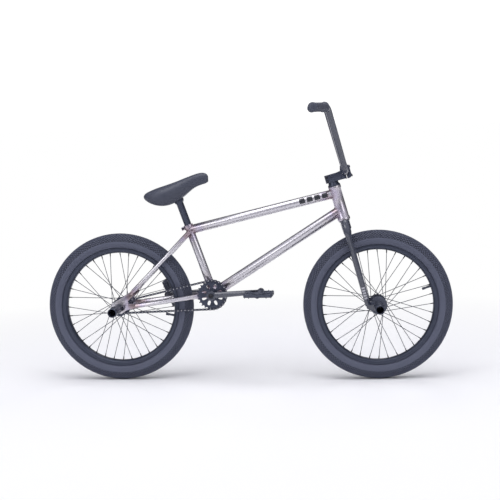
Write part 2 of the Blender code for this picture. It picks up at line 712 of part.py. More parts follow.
def build_bars():
    corners, direction = bar_corners()
    left = bent_path(corners, (0.045, 0.040), 5)
    right = [Vector(mirrored(p, -1)) for p in reversed(left)]
    pipe("handlebar", right[:-1] + left[1:], BAR_R, "black_paint", STEERING, None, 3)

    foot, top = corners[1], corners[2]
    joint_y = foot.y + (top.y - foot.y) * CROSSBAR_HEIGHT / BAR_RISE
    level = BAR_LOW + CROSSBAR_HEIGHT
    hole = clear_of(BAR_R, 20)
    cross = rod("handlebar_crossbar", (BAR_REACH, -joint_y, level), (BAR_REACH, joint_y, level),
                "black_paint", 0.0080, parent=STEERING, sides=12)
    for name, side in SIDES.items():
        upright = rod("upright_envelope_" + name, mirrored(foot, side), mirrored(top, side), None,
                      BAR_R + GAP + 0.0001, parent=STEERING, sides=16)
        cut(cross, upright)

        end = Vector(mirrored(corners[3], side))
        outward = Vector(mirrored(direction, side))
        grip = along(end - outward * GRIP_LENGTH, end)
        turned("grip_" + name, [
            (0.0155, GRIP_LENGTH), (0.0148, GRIP_LENGTH - 0.004), (0.0148, 0.0060), (0.0172, 0.0035),
            (0.0172, 0.0), (hole, 0.0), (hole, GRIP_LENGTH)], "black_rubber", STEERING, grip, 20, ring=True)
        turned("bar_end_" + name, [
            (0.0, 0.0070), (0.0135, 0.0070), (0.0165, 0.0045), (0.0165, 0.0012), (0.0155, 0.0), (0.0, 0.0)],
            "black_plastic", STEERING, along(end + outward * GAP, end + outward), 20)


# ---------------------------------------------------------------- wheels
RIM_HALF = 0.0182
BEAD_R = 0.2035                 # where the tyre's beads sit in the rim
RIM_EDGE_R = 0.2095
TYRE_SECTION = 0.0297
WHEEL_STEPS = 36


def build_rim_and_tyre(prefix, parent):
    lip = 0.0163
    half = [(RIM_EDGE_R, lip), (RIM_EDGE_R, RIM_HALF), (0.1992, RIM_HALF), (RIM_INNER_R, 0.0100)]
    loop = [(BEAD_R, 0.0160), (BEAD_R, -0.0160)] + [(r, -z) for r, z in half] + half[::-1]
    turned(prefix + "_rim", loop, "black_metal", parent, SIDEWAYS, WHEEL_STEPS, ring=True)

    centre = TYRE_R - TYRE_SECTION
    crown = [(centre + TYRE_SECTION * math.cos(math.radians(a)), TYRE_SECTION * math.sin(math.radians(a)))
             for a in range(120, -121, -40)]
    bead = [(RIM_EDGE_R + 2 * GAP, 0.0155), (BEAD_R + GAP, 0.0155)]
    loop = [bead[1], bead[0]] + crown + [(r, -z) for r, z in bead]
    turned(prefix + "_tyre", loop, "black_rubber", parent, SIDEWAYS, WHEEL_STEPS, ring=True)


def build_hub(name, parent, flanges, ends, barrel, flange_r, bore):
    """A hub shell with its laced spokes: 18 to a side, crossing three times, heads in and out by turns."""
    flange_half = 0.0016
    near, far = flanges
    low, high = ends
    profile = [
        (bore, high), (0.0155, high), (0.0170, far + 0.0040), (flange_r, far + flange_half),
        (flange_r, far - flange_half), (barrel, far - 0.0060), (barrel, near + 0.0060),
        (flange_r, near + flange_half), (flange_r, near - flange_half), (0.0170, near - 0.0040),
        (0.0155, low), (bore, low)]
    hub = turned(name, profile, "black_metal", parent, SIDEWAYS, 18, ring=True)

    spoke_r = 0.0011
    hole_r = flange_r - 0.0035
    rim_r = RIM_INNER_R - GAP
    cage = bmesh.new()
    for flange, offset in ((near, 0.0), (far, 10.0)):
        for k in range(SPOKES_PER_SIDE):
            lean = 60.0 if k % 2 else -60.0
            head = flange + (0.0019 if k % 2 else -0.0019)
            a = math.radians(20.0 * k + offset)
            b = math.radians(20.0 * k + offset + lean)
            start = Vector((hole_r * math.cos(a), hole_r * math.sin(a), head))
            end = Vector((rim_r * math.cos(b), rim_r * math.sin(b), head * 0.08))
            length = (end - start).length
            bmesh.ops.create_cone(cage, cap_ends=True, segments=4, radius1=spoke_r, radius2=spoke_r,
                                  depth=length,
                                  matrix=along(start, end) @ Matrix.Translation((0, 0, length / 2)))
    mesh = bpy.data.meshes.new(name + "_spokes")
    cage.to_mesh(mesh)
    cage.free()
    spokes = new_object(name + "_spokes", mesh, None, parent, SIDEWAYS)
    join(hub, spokes)


def build_wheels():
    build_rim_and_tyre("front", FRONT_WHEEL)
    build_hub("front_hub", FRONT_WHEEL, (-0.0340, 0.0340), (-0.0415, 0.0415), 0.0150, 0.0290,
              FRONT_AXLE_R + 0.0004)
    build_rim_and_tyre("rear", REAR_WHEEL)
    build_hub("rear_hub", REAR_WHEEL, (-0.0360, 0.0270), (-0.0480, 0.0340), 0.0190, 0.0300, AXLE_R + 0.0004)


# ---------------------------------------------------------------- drivetrain
TOOTH_HALF = 0.0014


def toothed_outline(teeth, first_angle):
    """A chain wheel's outline: round seats for the rollers between short pointed teeth."""
    pitch_r = CHAIN_PITCH / (2 * math.sin(math.pi / teeth))
    seat_r = ROLLER_R + 0.00035
    step = 2 * math.pi / teeth
    outline = []
    for k in range(teeth):
        angle = first_angle + k * step
        centre = pitch_r * Vector((math.cos(angle), math.sin(angle)))
        for opening in (-62.0, 0.0, 62.0):
            direction = angle + math.pi + math.radians(opening)
            outline.append(tuple(centre + seat_r * Vector((math.cos(direction), math.sin(direction)))))
        for share in (0.43, 0.57):
            tip = angle + share * step
            tip_r = pitch_r + 0.0027
            outline.append((tip_r * math.cos(tip), tip_r * math.sin(tip)))
    # a neighbour's seat and tip may come out of turn; the wheel is star-shaped, so angle sorts them
    return sorted(outline, key=lambda p: math.atan2(p[1], p[0]))


def window_outline(radius_in, radius_out, half, angle):
    """A round-ended radial window between two radii."""
    points = arc((radius_in + half, 0.0), half, 90, 270, 3) + arc((radius_out - half, 0.0), half, -90, 90, 3)
    turn = Matrix.Rotation(angle, 2)
    return [tuple(turn @ Vector(p)) for p in points]


def circle(radius, count):
    return arc((0.0, 0.0), radius, 0, 360 * (count - 1) / count, count - 1)


def build_sprocket():
    """Thin at the teeth and thick inside them, with eight round-ended windows."""
    place = Matrix.Translation((0, -CHAINLINE, 0)) @ SIDEWAYS
    rim = 0.0436
    toothed = toothed_outline(SPROCKET_TEETH, CHAIN_START - CRANK_ANGLE)
    wheel = as_mesh(flat_plate("sprocket", toothed, 2 * TOOTH_HALF, "black_metal", CRANK, place,
                               [circle(rim - 0.002, 32)]))
    windows = [window_outline(0.0205, 0.0395, 0.0050, math.radians(20.0 + 45.0 * k)) for k in range(8)]
    disc = as_mesh(flat_plate("sprocket_disc", circle(rim, 32), 0.0046, None, CRANK, place,
                              [circle(clear_of(SPINDLE_R, 16), 16), *windows]))
    join(wheel, disc)


def build_driver():
    place = Matrix.Translation((0, -CHAINLINE, 0)) @ SIDEWAYS
    hole = clear_of(AXLE_R + 0.0001, 16)
    cog = as_mesh(flat_plate("driver_cog", toothed_outline(COG_TEETH, cog_phase()), 2 * TOOTH_HALF,
                             "black_metal", REAR_WHEEL, place, [circle(0.0100, 16)]))
    sleeve = turned("driver_sleeve", [
        (0.0128, 0.0070), (0.0128, -0.0085), (hole, -0.0085), (hole, 0.0070)],
        None, REAR_WHEEL, place, ring=True)
    join(cog, sleeve)


def cog_phase():
    """The angle of a pin that lies on the cog, about the cog's centre."""
    centre = Vector((REAR_AXLE.x, REAR_AXLE.z))
    wrapped = min(CHAIN_PINS, key=lambda pin: pin.x)
    arm = wrapped - centre
    return math.atan2(arm.y, arm.x)


def build_chain():
    """Seventy links in one body: waisted side plates, outer pairs standing proud of inner pairs, and
    six-sided rollers between them that leave each tooth its window."""
    bm = bmesh.new()
    tall, waist = 0.0042, 0.0030
    inside, inner_face, outer_face = 0.00175, 0.0031, 0.0043
    tangents = []
    for i in range(CHAIN_LINKS):
        tangents.append((CHAIN_PINS[(i + 1) % CHAIN_LINKS] - CHAIN_PINS[i - 1]).normalized())

    def corner(centre, tangent, ahead, up, y):
        across = Vector((-tangent.y, tangent.x))
        spot = centre + tangent * ahead + across * up
        return bm.verts.new((spot.x, -CHAINLINE + y, spot.y))

    hexagon = [(ROLLER_R * math.cos(a), ROLLER_R * math.sin(a)) for a in
               (math.radians(90 - 60 * k) for k in range(6))]
    pins, waists, rollers = [], [], []
    for side in (-1, 1):
        depths = (inside * side, inner_face * side, outer_face * side)
        at_pins, at_waists, at_rollers = [], [], []
        for i, pin in enumerate(CHAIN_PINS):
            after = CHAIN_PINS[(i + 1) % CHAIN_LINKS]
            link = (after - pin).normalized()
            middle = (pin + after) / 2
            face = depths[1 + i % 2]
            at_pins.append([[corner(pin, tangents[i], 0.0, up, y) for y in depths] for up in (tall, -tall)])
            at_waists.append([[corner(middle, link, 0.0, up, y) for y in (depths[0], face)]
                              for up in (waist, -waist)])
            at_rollers.append([corner(pin, tangents[i], a, u, depths[0]) for a, u in hexagon])
        pins.append(at_pins)
        waists.append(at_waists)
        rollers.append(at_rollers)

    for at_pins, at_waists, at_rollers in zip(pins, waists, rollers):
        for i in range(CHAIN_LINKS):
            j = (i + 1) % CHAIN_LINKS
            level = 1 + i % 2
            a, m, b = at_pins[i], at_waists[i], at_pins[j]
            ring, after = at_rollers[i], at_rollers[j]
            # the face that looks at the sprocket's teeth, notched by half a roller at each end
            bm.faces.new((a[0][0], m[0][0], b[0][0], after[0], after[5], after[4], after[3], b[1][0],
                          m[1][0], a[1][0], ring[3], ring[2], ring[1], ring[0]))
            bm.faces.new((a[0][level], m[0][1], b[0][level], b[1][level], m[1][1], a[1][level]))
            for row in (0, 1):
                near = [a[row][k] for k in range(level + 1)]
                far = [b[row][k] for k in range(level + 1)]
                bm.faces.new((*near, m[row][1], m[row][0]))
                bm.faces.new((m[row][0], m[row][1], *reversed(far)))
            # the step between this link's plates and the next link's
            bm.faces.new((b[0][1], b[0][2], b[1][2], b[1][1]))
    for i in range(CHAIN_LINKS):
        right, left = rollers[0][i], rollers[1][i]
        for k in range(6):
            bm.faces.new((right[k], right[(k + 1) % 6], left[(k + 1) % 6], left[k]))
    bmesh.ops.recalc_face_normals(bm, faces=bm.faces)
    mesh = bpy.data.meshes.new("chain")
    bm.to_mesh(mesh)
    bm.free()
    new_object("chain", mesh, "black_metal", None)


# ---------------------------------------------------------------- cranks and pedals
ARM_ROOT_Y = 0.0612             # the arm's centre line, from the centre plane at the spindle
ARM_TIP_Y = 0.0690              # and at the pedal
BOSS_R = 0.0160
EYE_R = 0.0128
EYE_HALF = 0.0085
PEDAL_GAP = 0.0050
PEDAL_WIDTH = 0.0960
PEDAL_HALF_LENGTH = 0.0490


def build_cranks():
    for name, side in SIDES.items():
        reach = CRANK_LENGTH if side < 0 else -CRANK_LENGTH
        root = (0.0, side * ARM_ROOT_Y, 0.0)
        tip = (reach, side * ARM_TIP_Y, 0.0)
        arm = rod("crank_arm_" + name, root, tip, "black_paint", 0.0115, 0.0080, CRANK, 14)
        boss = rod("crank_boss_" + name, (0, side * 0.0480, 0), (0, side * 0.0725, 0), None, BOSS_R,
                   parent=CRANK, sides=20)
        eye = rod("crank_eye_" + name, (reach, side * (ARM_TIP_Y - EYE_HALF), 0),
                  (reach, side * (ARM_TIP_Y + EYE_HALF), 0), None, EYE_R, parent=CRANK, sides=16)
        bore = rod("crank_bore_" + name, (0, side * 0.040, 0), (0, side * 0.080, 0), None, SPINDLE_R + GAP,
                   parent=CRANK, sides=20)
        join(arm, boss, eye)
        cut(arm, bore)

        start = side * (ARM_TIP_Y + EYE_HALF + GAP)
        turned("pedal_spindle_" + name, [
            (0.0, 0.0900), (0.0040, 0.0900), (PEDAL_SPINDLE_R, 0.0400), (PEDAL_SPINDLE_R, 0.0045),
            (0.0080, 0.0040), (0.0080, 0.0), (0.0, 0.0)], "bearing_steel", CRANK,
            along((reach, start, 0), (reach, start + side, 0)), 12)
    half = 0.0745
    rod("crank_spindle", (0, -half, 0), (0, half, 0), "black_metal", SPINDLE_R, parent=CRANK, sides=20)


def build_pedal(name, side, parent):
    """A plastic platform: an outer frame with four windows round a barrel that turns on the spindle."""
    inner = ARM_TIP_Y + EYE_HALF + PEDAL_GAP
    centre = inner + PEDAL_WIDTH / 2
    half_l, half_w, chamfer = PEDAL_HALF_LENGTH, PEDAL_WIDTH / 2, 0.010
    outline = [
        (half_l, -half_w + chamfer), (half_l, half_w - chamfer), (half_l - 0.006, half_w),
        (-half_l + 0.006, half_w), (-half_l, half_w - chamfer), (-half_l, -half_w + chamfer),
        (-half_l + 0.006, -half_w), (half_l - 0.006, -half_w)]
    rail = 0.0075
    windows = []
    for along_x in (-1, 1):
        for along_y in (-1, 1):
            x0, x1 = 0.0150, half_l - rail
            y0, y1 = 0.0040, half_w - rail
            windows.append([(along_x * x, along_y * y) for x, y in
                            ((x0, y0), (x1, y0), (x1, y1 - 0.004), (x1 - 0.004, y1), (x0, y1))])
    matrix = Matrix.Translation((0, side * centre, 0))
    body = as_mesh(flat_plate("pedal_" + name, outline, 0.0120, "black_plastic", parent, matrix, windows))
    barrel = rod("pedal_barrel_" + name, (0, side * (inner + 0.0002), 0),
                 (0, side * (inner + PEDAL_WIDTH - 0.0002), 0), None, 0.0092, parent=parent, sides=12)
    bore = rod("pedal_bore_" + name, (0, side * (inner - 0.010), 0), (0, side * (inner + 0.0880), 0), None,
               clear_of(PEDAL_SPINDLE_R, 12), parent=parent, sides=12)
    join(body, barrel)
    cut(body, bore)


# ---------------------------------------------------------------- seat post and saddle
PIVOT_R = 0.0160


def build_seat_post():
    post = rod("seat_post", on_seat_tube(0.1750), on_seat_tube(SADDLE_PIVOT), "black_metal", POST_R, sides=16)
    pivot = on_seat_tube(SADDLE_PIVOT)
    head = rod("seat_post_head", pivot - Vector((0, 0.0130, 0)), pivot + Vector((0, 0.0130, 0)), None,
               PIVOT_R, sides=20)
    join(post, head)


def saddle_section(x, low, high, half):
    """An eight-point section of the saddle across the bike, fuller near the top."""
    belly = low + (high - low) * 0.40
    shoulder = low + (high - low) * 0.82
    widest = belly + (shoulder - belly) * 0.35
    crown = high - (high - shoulder) * 0.35
    return [Vector((x, y, z)) for y, z in (
        (0.0, high), (half * 0.62, crown), (half, widest), (half * 0.86, low),
        (0.0, low + (high - low) * 0.06),
        (-half * 0.86, low), (-half, widest), (-half * 0.62, crown))]


SADDLE_SECTIONS = [         # x, underside, top, half width
    (-0.3570, 0.6440, 0.6560, 0.0200), (-0.3400, 0.6330, 0.6690, 0.0520), (-0.3000, 0.6140, 0.6830, 0.0700),
    (-0.2560, 0.6170, 0.6960, 0.0590), (-0.2200, 0.6380, 0.7090, 0.0380), (-0.1840, 0.6740, 0.7230, 0.0240),
    (-0.1520, 0.6860, 0.7320, 0.0215), (-0.1310, 0.6930, 0.7180, 0.0160)]


def build_saddle():
    bm = bmesh.new()
    rings = []
    for x, low, high, half in SADDLE_SECTIONS:
        rings.append([bm.verts.new(p) for p in saddle_section(x, low, high, half)])
    count = len(rings[0])
    for ring, after in zip(rings, rings[1:]):
        for i in range(count):
            j = (i + 1) % count
            bm.faces.new((ring[i], ring[j], after[j], after[i]))
    bm.faces.new(list(reversed(rings[0])))
    bm.faces.new(rings[-1])
    bmesh.ops.recalc_face_normals(bm, faces=bm.faces)
    mesh = bpy.data.meshes.new("saddle")
    bm.to_mesh(mesh)
    bm.free()
    smooth(mesh, 60.0)
    saddle = new_object("saddle", mesh, "black_plastic", None)
    soften = saddle.modifiers.new("soft_form", "SUBSURF")
    soften.levels = 1
    soften.render_levels = 1

    pivot = on_seat_tube(SADDLE_PIVOT)
    cradle = rod("saddle_cradle", pivot - Vector((0, 0.0140, 0)), pivot + Vector((0, 0.0140, 0)), None,
                 clear_of(PIVOT_R, 20), sides=20)
    # room for the post's head, wide enough for the saddle's ten degrees of tilt each way
    swing = box_cutter("saddle_swing_room", (0.052, 0.0340, 0.060), None,
                       Matrix.Translation(pivot + Vector((0.006, 0, -0.0305))))
    cut(saddle, cradle, swing)


# ---------------------------------------------------------------- the bike
build_head_tube()
build_main_triangle()
build_seat_clamp()
build_rear_triangle()
build_axles()
build_fork()
build_stem()
build_bars()
build_wheels()
build_sprocket()
build_driver()
build_chain()
build_cranks()
build_pedal("right", -1, PEDAL_RIGHT)
build_pedal("left", 1, PEDAL_LEFT)
build_seat_post()
build_saddle()
bpy.context.view_layer.update()
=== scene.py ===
# %% [markdown]
# # Finishing a BMX bicycle
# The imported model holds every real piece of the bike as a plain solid. This lesson keeps those sizes
# and places, and gives each piece the surface that a person sees: tread on the tyres, laced spokes, a
# chain of separate plates, a padded saddle and bare steel with heat tint at its welds.

# %% Load the model
import json
import math
import bpy
from mathutils import Matrix, Vector, noise


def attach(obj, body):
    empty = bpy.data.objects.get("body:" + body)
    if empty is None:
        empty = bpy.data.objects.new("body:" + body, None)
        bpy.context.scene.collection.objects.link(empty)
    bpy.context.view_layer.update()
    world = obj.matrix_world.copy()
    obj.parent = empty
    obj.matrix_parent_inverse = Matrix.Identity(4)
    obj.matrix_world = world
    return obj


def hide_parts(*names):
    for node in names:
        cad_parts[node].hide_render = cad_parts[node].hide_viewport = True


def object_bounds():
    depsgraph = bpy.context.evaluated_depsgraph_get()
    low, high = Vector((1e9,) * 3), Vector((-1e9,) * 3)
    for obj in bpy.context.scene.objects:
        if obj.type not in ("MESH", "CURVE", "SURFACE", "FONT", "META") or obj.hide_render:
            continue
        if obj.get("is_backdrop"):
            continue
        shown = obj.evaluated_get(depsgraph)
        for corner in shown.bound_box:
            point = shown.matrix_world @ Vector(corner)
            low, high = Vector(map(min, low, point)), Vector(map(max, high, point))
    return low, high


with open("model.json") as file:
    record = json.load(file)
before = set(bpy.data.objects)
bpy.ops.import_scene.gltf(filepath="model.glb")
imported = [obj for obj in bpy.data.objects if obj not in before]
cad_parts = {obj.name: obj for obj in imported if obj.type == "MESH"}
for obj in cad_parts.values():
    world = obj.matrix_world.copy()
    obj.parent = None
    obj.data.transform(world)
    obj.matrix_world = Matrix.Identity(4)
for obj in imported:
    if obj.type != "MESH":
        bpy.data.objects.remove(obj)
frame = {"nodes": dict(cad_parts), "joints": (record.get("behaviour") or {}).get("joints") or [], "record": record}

cad_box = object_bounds()

# %% [markdown]
# ## Camera first
# The bike is seen from its chain side by a long lens, a little above the top tube and a little ahead
# of the bottom bracket. A camera looks down its own -Z axis, so it is first stood upright, then tipped
# down, turned about the vertical, and rolled about its own view.

# %% Camera
CAMERA_PLACE = Vector((0.664, -5.353, 1.044))
CAMERA_TURN = math.radians(6.96)        # to the left, seen from above
CAMERA_TIP = math.radians(6.23)         # down
CAMERA_ROLL = math.radians(-1.47)
camera = bpy.data.objects.new("camera", bpy.data.cameras.new("camera"))
bpy.context.scene.collection.objects.link(camera)
camera.data.sensor_width = 36.0
camera.data.lens = 111.55
camera.matrix_world = (Matrix.Translation(CAMERA_PLACE) @ Matrix.Rotation(CAMERA_TURN, 4, "Z")
                       @ Matrix.Rotation(math.pi / 2 - CAMERA_TIP, 4, "X")
                       @ Matrix.Rotation(CAMERA_ROLL, 4, "Z"))
bpy.context.scene.camera = camera
print("camera", [round(x, 3) for x in camera.matrix_world.translation])

# %% [markdown]
# ## Floor, lights and surroundings
# A product is often shown on a white sweep, lit from large soft boxes. Gloss paint and bare metal are
# only as good as what they mirror, so the surroundings hold a dark band low down and a bright sky:
# that is what draws the long highlights along the tubes.

# %% Floor
def deselect():
    """Operators act on everything selected, so nothing is left selected by accident."""
    if bpy.context.object and bpy.context.object.mode != "OBJECT":
        bpy.ops.object.mode_set(mode="OBJECT")
    bpy.ops.object.select_all(action="DESELECT")


def select_only(piece):
    """Makes the piece the only one selected, and the active one."""
    deselect()
    bpy.context.view_layer.objects.active = piece
    piece.select_set(True)


def add_node(tree, kind, inputs=None, **settings):
    """A shader node with its settings; each input is a value, or a socket to be linked to it."""
    node = tree.nodes.new("ShaderNode" + kind)
    for label, value in settings.items():
        setattr(node, label, value)
    for label, value in (inputs or {}).items():
        if isinstance(value, bpy.types.NodeSocket):
            tree.links.new(value, node.inputs[label])
        else:
            node.inputs[label].default_value = value
    return node


def new_material(name):
    """A material, its node tree and its Principled shader."""
    material = bpy.data.materials.new(name)
    material.use_nodes = True
    tree = material.node_tree
    return material, tree, tree.nodes["Principled BSDF"]


deselect()
bpy.ops.mesh.primitive_plane_add(size=60.0, location=(0.0, 0.0, -0.0004))
floor = bpy.context.object
floor.name = "floor"
floor_paint, tree, shader = new_material("studio_floor")
shader.inputs["Base Color"].default_value = (0.93, 0.93, 0.935, 1.0)
shader.inputs["Roughness"].default_value = 0.9
shader.inputs["Specular IOR Level"].default_value = 0.1
# the sweep is lit far away from the bike too, so it glows more with distance, to the camera only
place, rays, glow = add_node(tree, "TexCoord"), add_node(tree, "LightPath"), add_node(tree, "Emission")
length = add_node(tree, "VectorMath", {0: place.outputs["Object"]}, operation="LENGTH")
far = add_node(tree, "MapRange", {"From Min": 0.75, "From Max": 2.2, "Value": length.outputs["Value"]})
both = add_node(tree, "Math", {0: rays.outputs["Is Camera Ray"], 1: far.outputs[0]}, operation="MULTIPLY")
cover = add_node(tree, "MixShader", {"Fac": both.outputs[0], 1: shader.outputs[0], 2: glow.outputs[0]})
tree.links.new(cover.outputs[0], tree.nodes["Material Output"].inputs["Surface"])
floor.data.materials.append(floor_paint)
floor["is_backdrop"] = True

# %% Lights and surroundings
def soft_box(name, place, aim, size, power):
    """A square area light that looks from place towards aim."""
    light = bpy.data.lights.new(name, "AREA")
    light.shape = "SQUARE"
    light.size = size
    light.energy = power
    lamp = bpy.data.objects.new(name, light)
    bpy.context.scene.collection.objects.link(lamp)
    lamp.location = place
    lamp.rotation_mode = "QUATERNION"
    lamp.rotation_quaternion = (Vector(aim) - Vector(place)).to_track_quat("-Z", "Y")


soft_box("overhead", (0.0, -0.6, 4.2), (0.0, 0.0, 0.3), 3.6, 105.0)
soft_box("front_left", (-3.2, -3.6, 2.4), (0.0, 0.0, 0.45), 2.2, 40.0)
soft_box("front_right", (3.4, -3.0, 2.0), (0.0, 0.0, 0.45), 2.0, 26.0)
soft_box("behind", (0.5, 3.6, 3.2), (0.0, 0.0, 0.3), 1.6, 22.0)

world = bpy.data.worlds.new("studio")
bpy.context.scene.world = world
world.use_nodes = True
tree = world.node_tree
tree.nodes.clear()
place = add_node(tree, "TexCoord")
split = add_node(tree, "SeparateXYZ", {0: place.outputs["Generated"]})
# bright above and in front; dark behind the bike, which draws the dark line along each tube's rim
bands = []
for axis, stops in (("Z", ((0.44, 0.20), (0.50, 0.45), (0.58, 0.30), (0.80, 0.95))),
                    ("Y", ((0.30, 1.0), (0.55, 0.75), (0.85, 0.12)))):
    unit = add_node(tree, "MapRange", {"From Min": -1.0, "Value": split.outputs[axis]})
    band = add_node(tree, "ValToRGB", {"Fac": unit.outputs[0]})
    while len(band.color_ramp.elements) < len(stops):
        band.color_ramp.elements.new(0.5)
    for stop, (position, level) in zip(band.color_ramp.elements, stops):
        stop.position = position
        stop.color = (level, level, level * 1.06, 1.0)
    bands.append(band.outputs["Color"])
product = add_node(tree, "Mix", {"Factor": 1.0, 6: bands[0], 7: bands[1]}, data_type="RGBA",
                   blend_type="MULTIPLY")
mirrored = add_node(tree, "Background", {"Color": product.outputs[2], "Strength": 0.75})
seen = add_node(tree, "Background", {"Color": (1.0, 1.0, 1.0, 1.0), "Strength": 1.15})
direct = add_node(tree, "LightPath").outputs["Is Camera Ray"]
mix = add_node(tree, "MixShader", {"Fac": direct, 1: mirrored.outputs[0], 2: seen.outputs[0]})
add_node(tree, "OutputWorld", {"Surface": mix.outputs[0]})
bpy.context.scene.view_settings.view_transform = "Standard"

# %% [markdown]
# ## Shared effects
# Three effects come back in many finishes, so each is a node group with named sockets. *Grain* is a
# fine unevenness, *Scuffs* are thin lines of wear that run every way, and *Heat tint* turns the
# distance from a weld into the straw, violet and blue that hot steel keeps.

# %% Group helpers
def new_group(name, inputs, outputs):
    """A node group: inputs are {name: default}, outputs {name: socket type}."""
    group = bpy.data.node_groups.new(name, "ShaderNodeTree")
    for label, value in inputs.items():
        socket = group.interface.new_socket(label, in_out="INPUT", socket_type="NodeSocketFloat")
        socket.default_value = value
    for label, kind in outputs.items():
        group.interface.new_socket(label, in_out="OUTPUT", socket_type=kind)
    return group, group.nodes.new("NodeGroupInput"), group.nodes.new("NodeGroupOutput")


# %% Grain
grain, given, result = new_group("grain", {"Scale": 400.0}, {"Value": "NodeSocketFloat"})
where = add_node(grain, "TexCoord").outputs["Object"]
speckle = add_node(grain, "TexNoise", {"Vector": where, "Scale": given.outputs["Scale"], "Detail": 4.0})
grain.links.new(speckle.outputs["Fac"], result.inputs["Value"])

# %% Scuffs
scuffs, given, result = new_group("scuffs", {"Scale": 60.0, "Amount": 0.5}, {"Mask": "NodeSocketFloat"})
where = add_node(scuffs, "TexCoord").outputs["Object"]
bend = add_node(scuffs, "TexNoise", {"Vector": where, "Scale": 9.0, "Detail": 2.0})
warped = add_node(scuffs, "VectorMath", {0: bend.outputs["Color"], 1: (0.25, 0.25, 0.25), 2: where},
                  operation="MULTIPLY_ADD")
lines = add_node(scuffs, "TexVoronoi", {"Vector": warped.outputs[0], "Scale": given.outputs["Scale"]},
                 feature="DISTANCE_TO_EDGE")
thin = add_node(scuffs, "MapRange", {"From Max": 0.012, "To Min": 1.0, "To Max": 0.0,
                                     "Value": lines.outputs["Distance"]})
patches = add_node(scuffs, "TexNoise", {"Vector": where, "Scale": 14.0, "Detail": 3.0})
some = add_node(scuffs, "MapRange", {"From Min": 0.52, "From Max": 0.68, "Value": patches.outputs["Fac"]})
both = add_node(scuffs, "Math", {0: thin.outputs[0], 1: some.outputs[0]}, operation="MULTIPLY")
scaled = add_node(scuffs, "Math", {0: both.outputs[0], 1: given.outputs["Amount"]}, operation="MULTIPLY")
scuffs.links.new(scaled.outputs[0], result.inputs["Mask"])

# %% Heat tint
heat, given, result = new_group("heat_tint", {"Distance": 1.0}, {"Color": "NodeSocketColor"})
where = add_node(heat, "TexCoord").outputs["Object"]
drift = add_node(heat, "TexNoise", {"Vector": where, "Scale": 45.0, "Detail": 2.0})
moved = add_node(heat, "Math", {0: drift.outputs["Fac"], 1: 0.030, 2: given.outputs["Distance"]},
                 operation="MULTIPLY_ADD")
spread = add_node(heat, "MapRange", {"From Max": 0.085, "Value": moved.outputs[0]})
tint = add_node(heat, "ValToRGB", {"Fac": spread.outputs[0]})
stops = [(0.0, (0.34, 0.30, 0.29)), (0.16, (0.27, 0.21, 0.20)), (0.34, (0.38, 0.30, 0.33)),
         (0.50, (0.46, 0.42, 0.52)), (0.72, (0.57, 0.54, 0.56)), (1.0, (0.60, 0.585, 0.62))]
for position, colour in stops[1:-1]:
    stop = tint.color_ramp.elements.new(position)
    stop.color = (*colour, 1.0)
tint.color_ramp.elements[0].color = (*stops[0][1], 1.0)
tint.color_ramp.elements[-1].color = (*stops[-1][1], 1.0)
heat.links.new(tint.outputs["Color"], result.inputs["Color"])
print("groups:", [g.name for g in bpy.data.node_groups])

# %% [markdown]
# ## Finishes
# Each finish is one material, mixed from the groups above. A dark finish needs wear, dust or a change
# of gloss to be readable, because its own colour says so little.

# %% Material helpers
def blend(tree, mask, below, above):
    """A colour that goes from below to above where the mask is 1."""
    below, above = [(*c, 1.0) if isinstance(c, tuple) else c for c in (below, above)]
    return add_node(tree, "Mix", {"Factor": mask, 6: below, 7: above}, data_type="RGBA").outputs[2]


def set_surface(tree, shader, colour, gloss, metallic, coat, coat_roughness, relief):
    """Sets the Principled shader: gloss is (grain, smoothest, roughest); relief is the bump's height."""
    grainy, smooth, rough = gloss
    uneven = add_node(tree, "MapRange", {"From Min": 0.3, "From Max": 0.7, "To Min": smooth, "To Max": rough,
                                         "Value": grainy})
    tree.links.new(colour, shader.inputs["Base Color"])
    tree.links.new(uneven.outputs[0], shader.inputs["Roughness"])
    for label, value in (("Metallic", metallic), ("Coat Weight", coat), ("Coat Roughness", coat_roughness)):
        shader.inputs[label].default_value = value
    if relief:
        bump = add_node(tree, "Bump", {"Distance": relief, "Strength": 0.5, "Height": grainy})
        tree.links.new(bump.outputs["Normal"], shader.inputs["Normal"])


def plain_finish(name, colour, worn, roughness, metallic, grain_size, relief, wear, coat=0.0):
    """A finish with fine grain in its gloss and relief, and thin scuffs of a paler colour."""
    material, tree, shader = new_material(name)
    speck = add_node(tree, "Group", {"Scale": grain_size}, node_tree=grain).outputs["Value"]
    marks = add_node(tree, "Group", {"Amount": wear}, node_tree=scuffs).outputs["Mask"]
    set_surface(tree, shader, blend(tree, marks, colour, worn),
                (speck, roughness * 0.82, roughness * 1.18), metallic, coat, 0.06, relief)
    return material


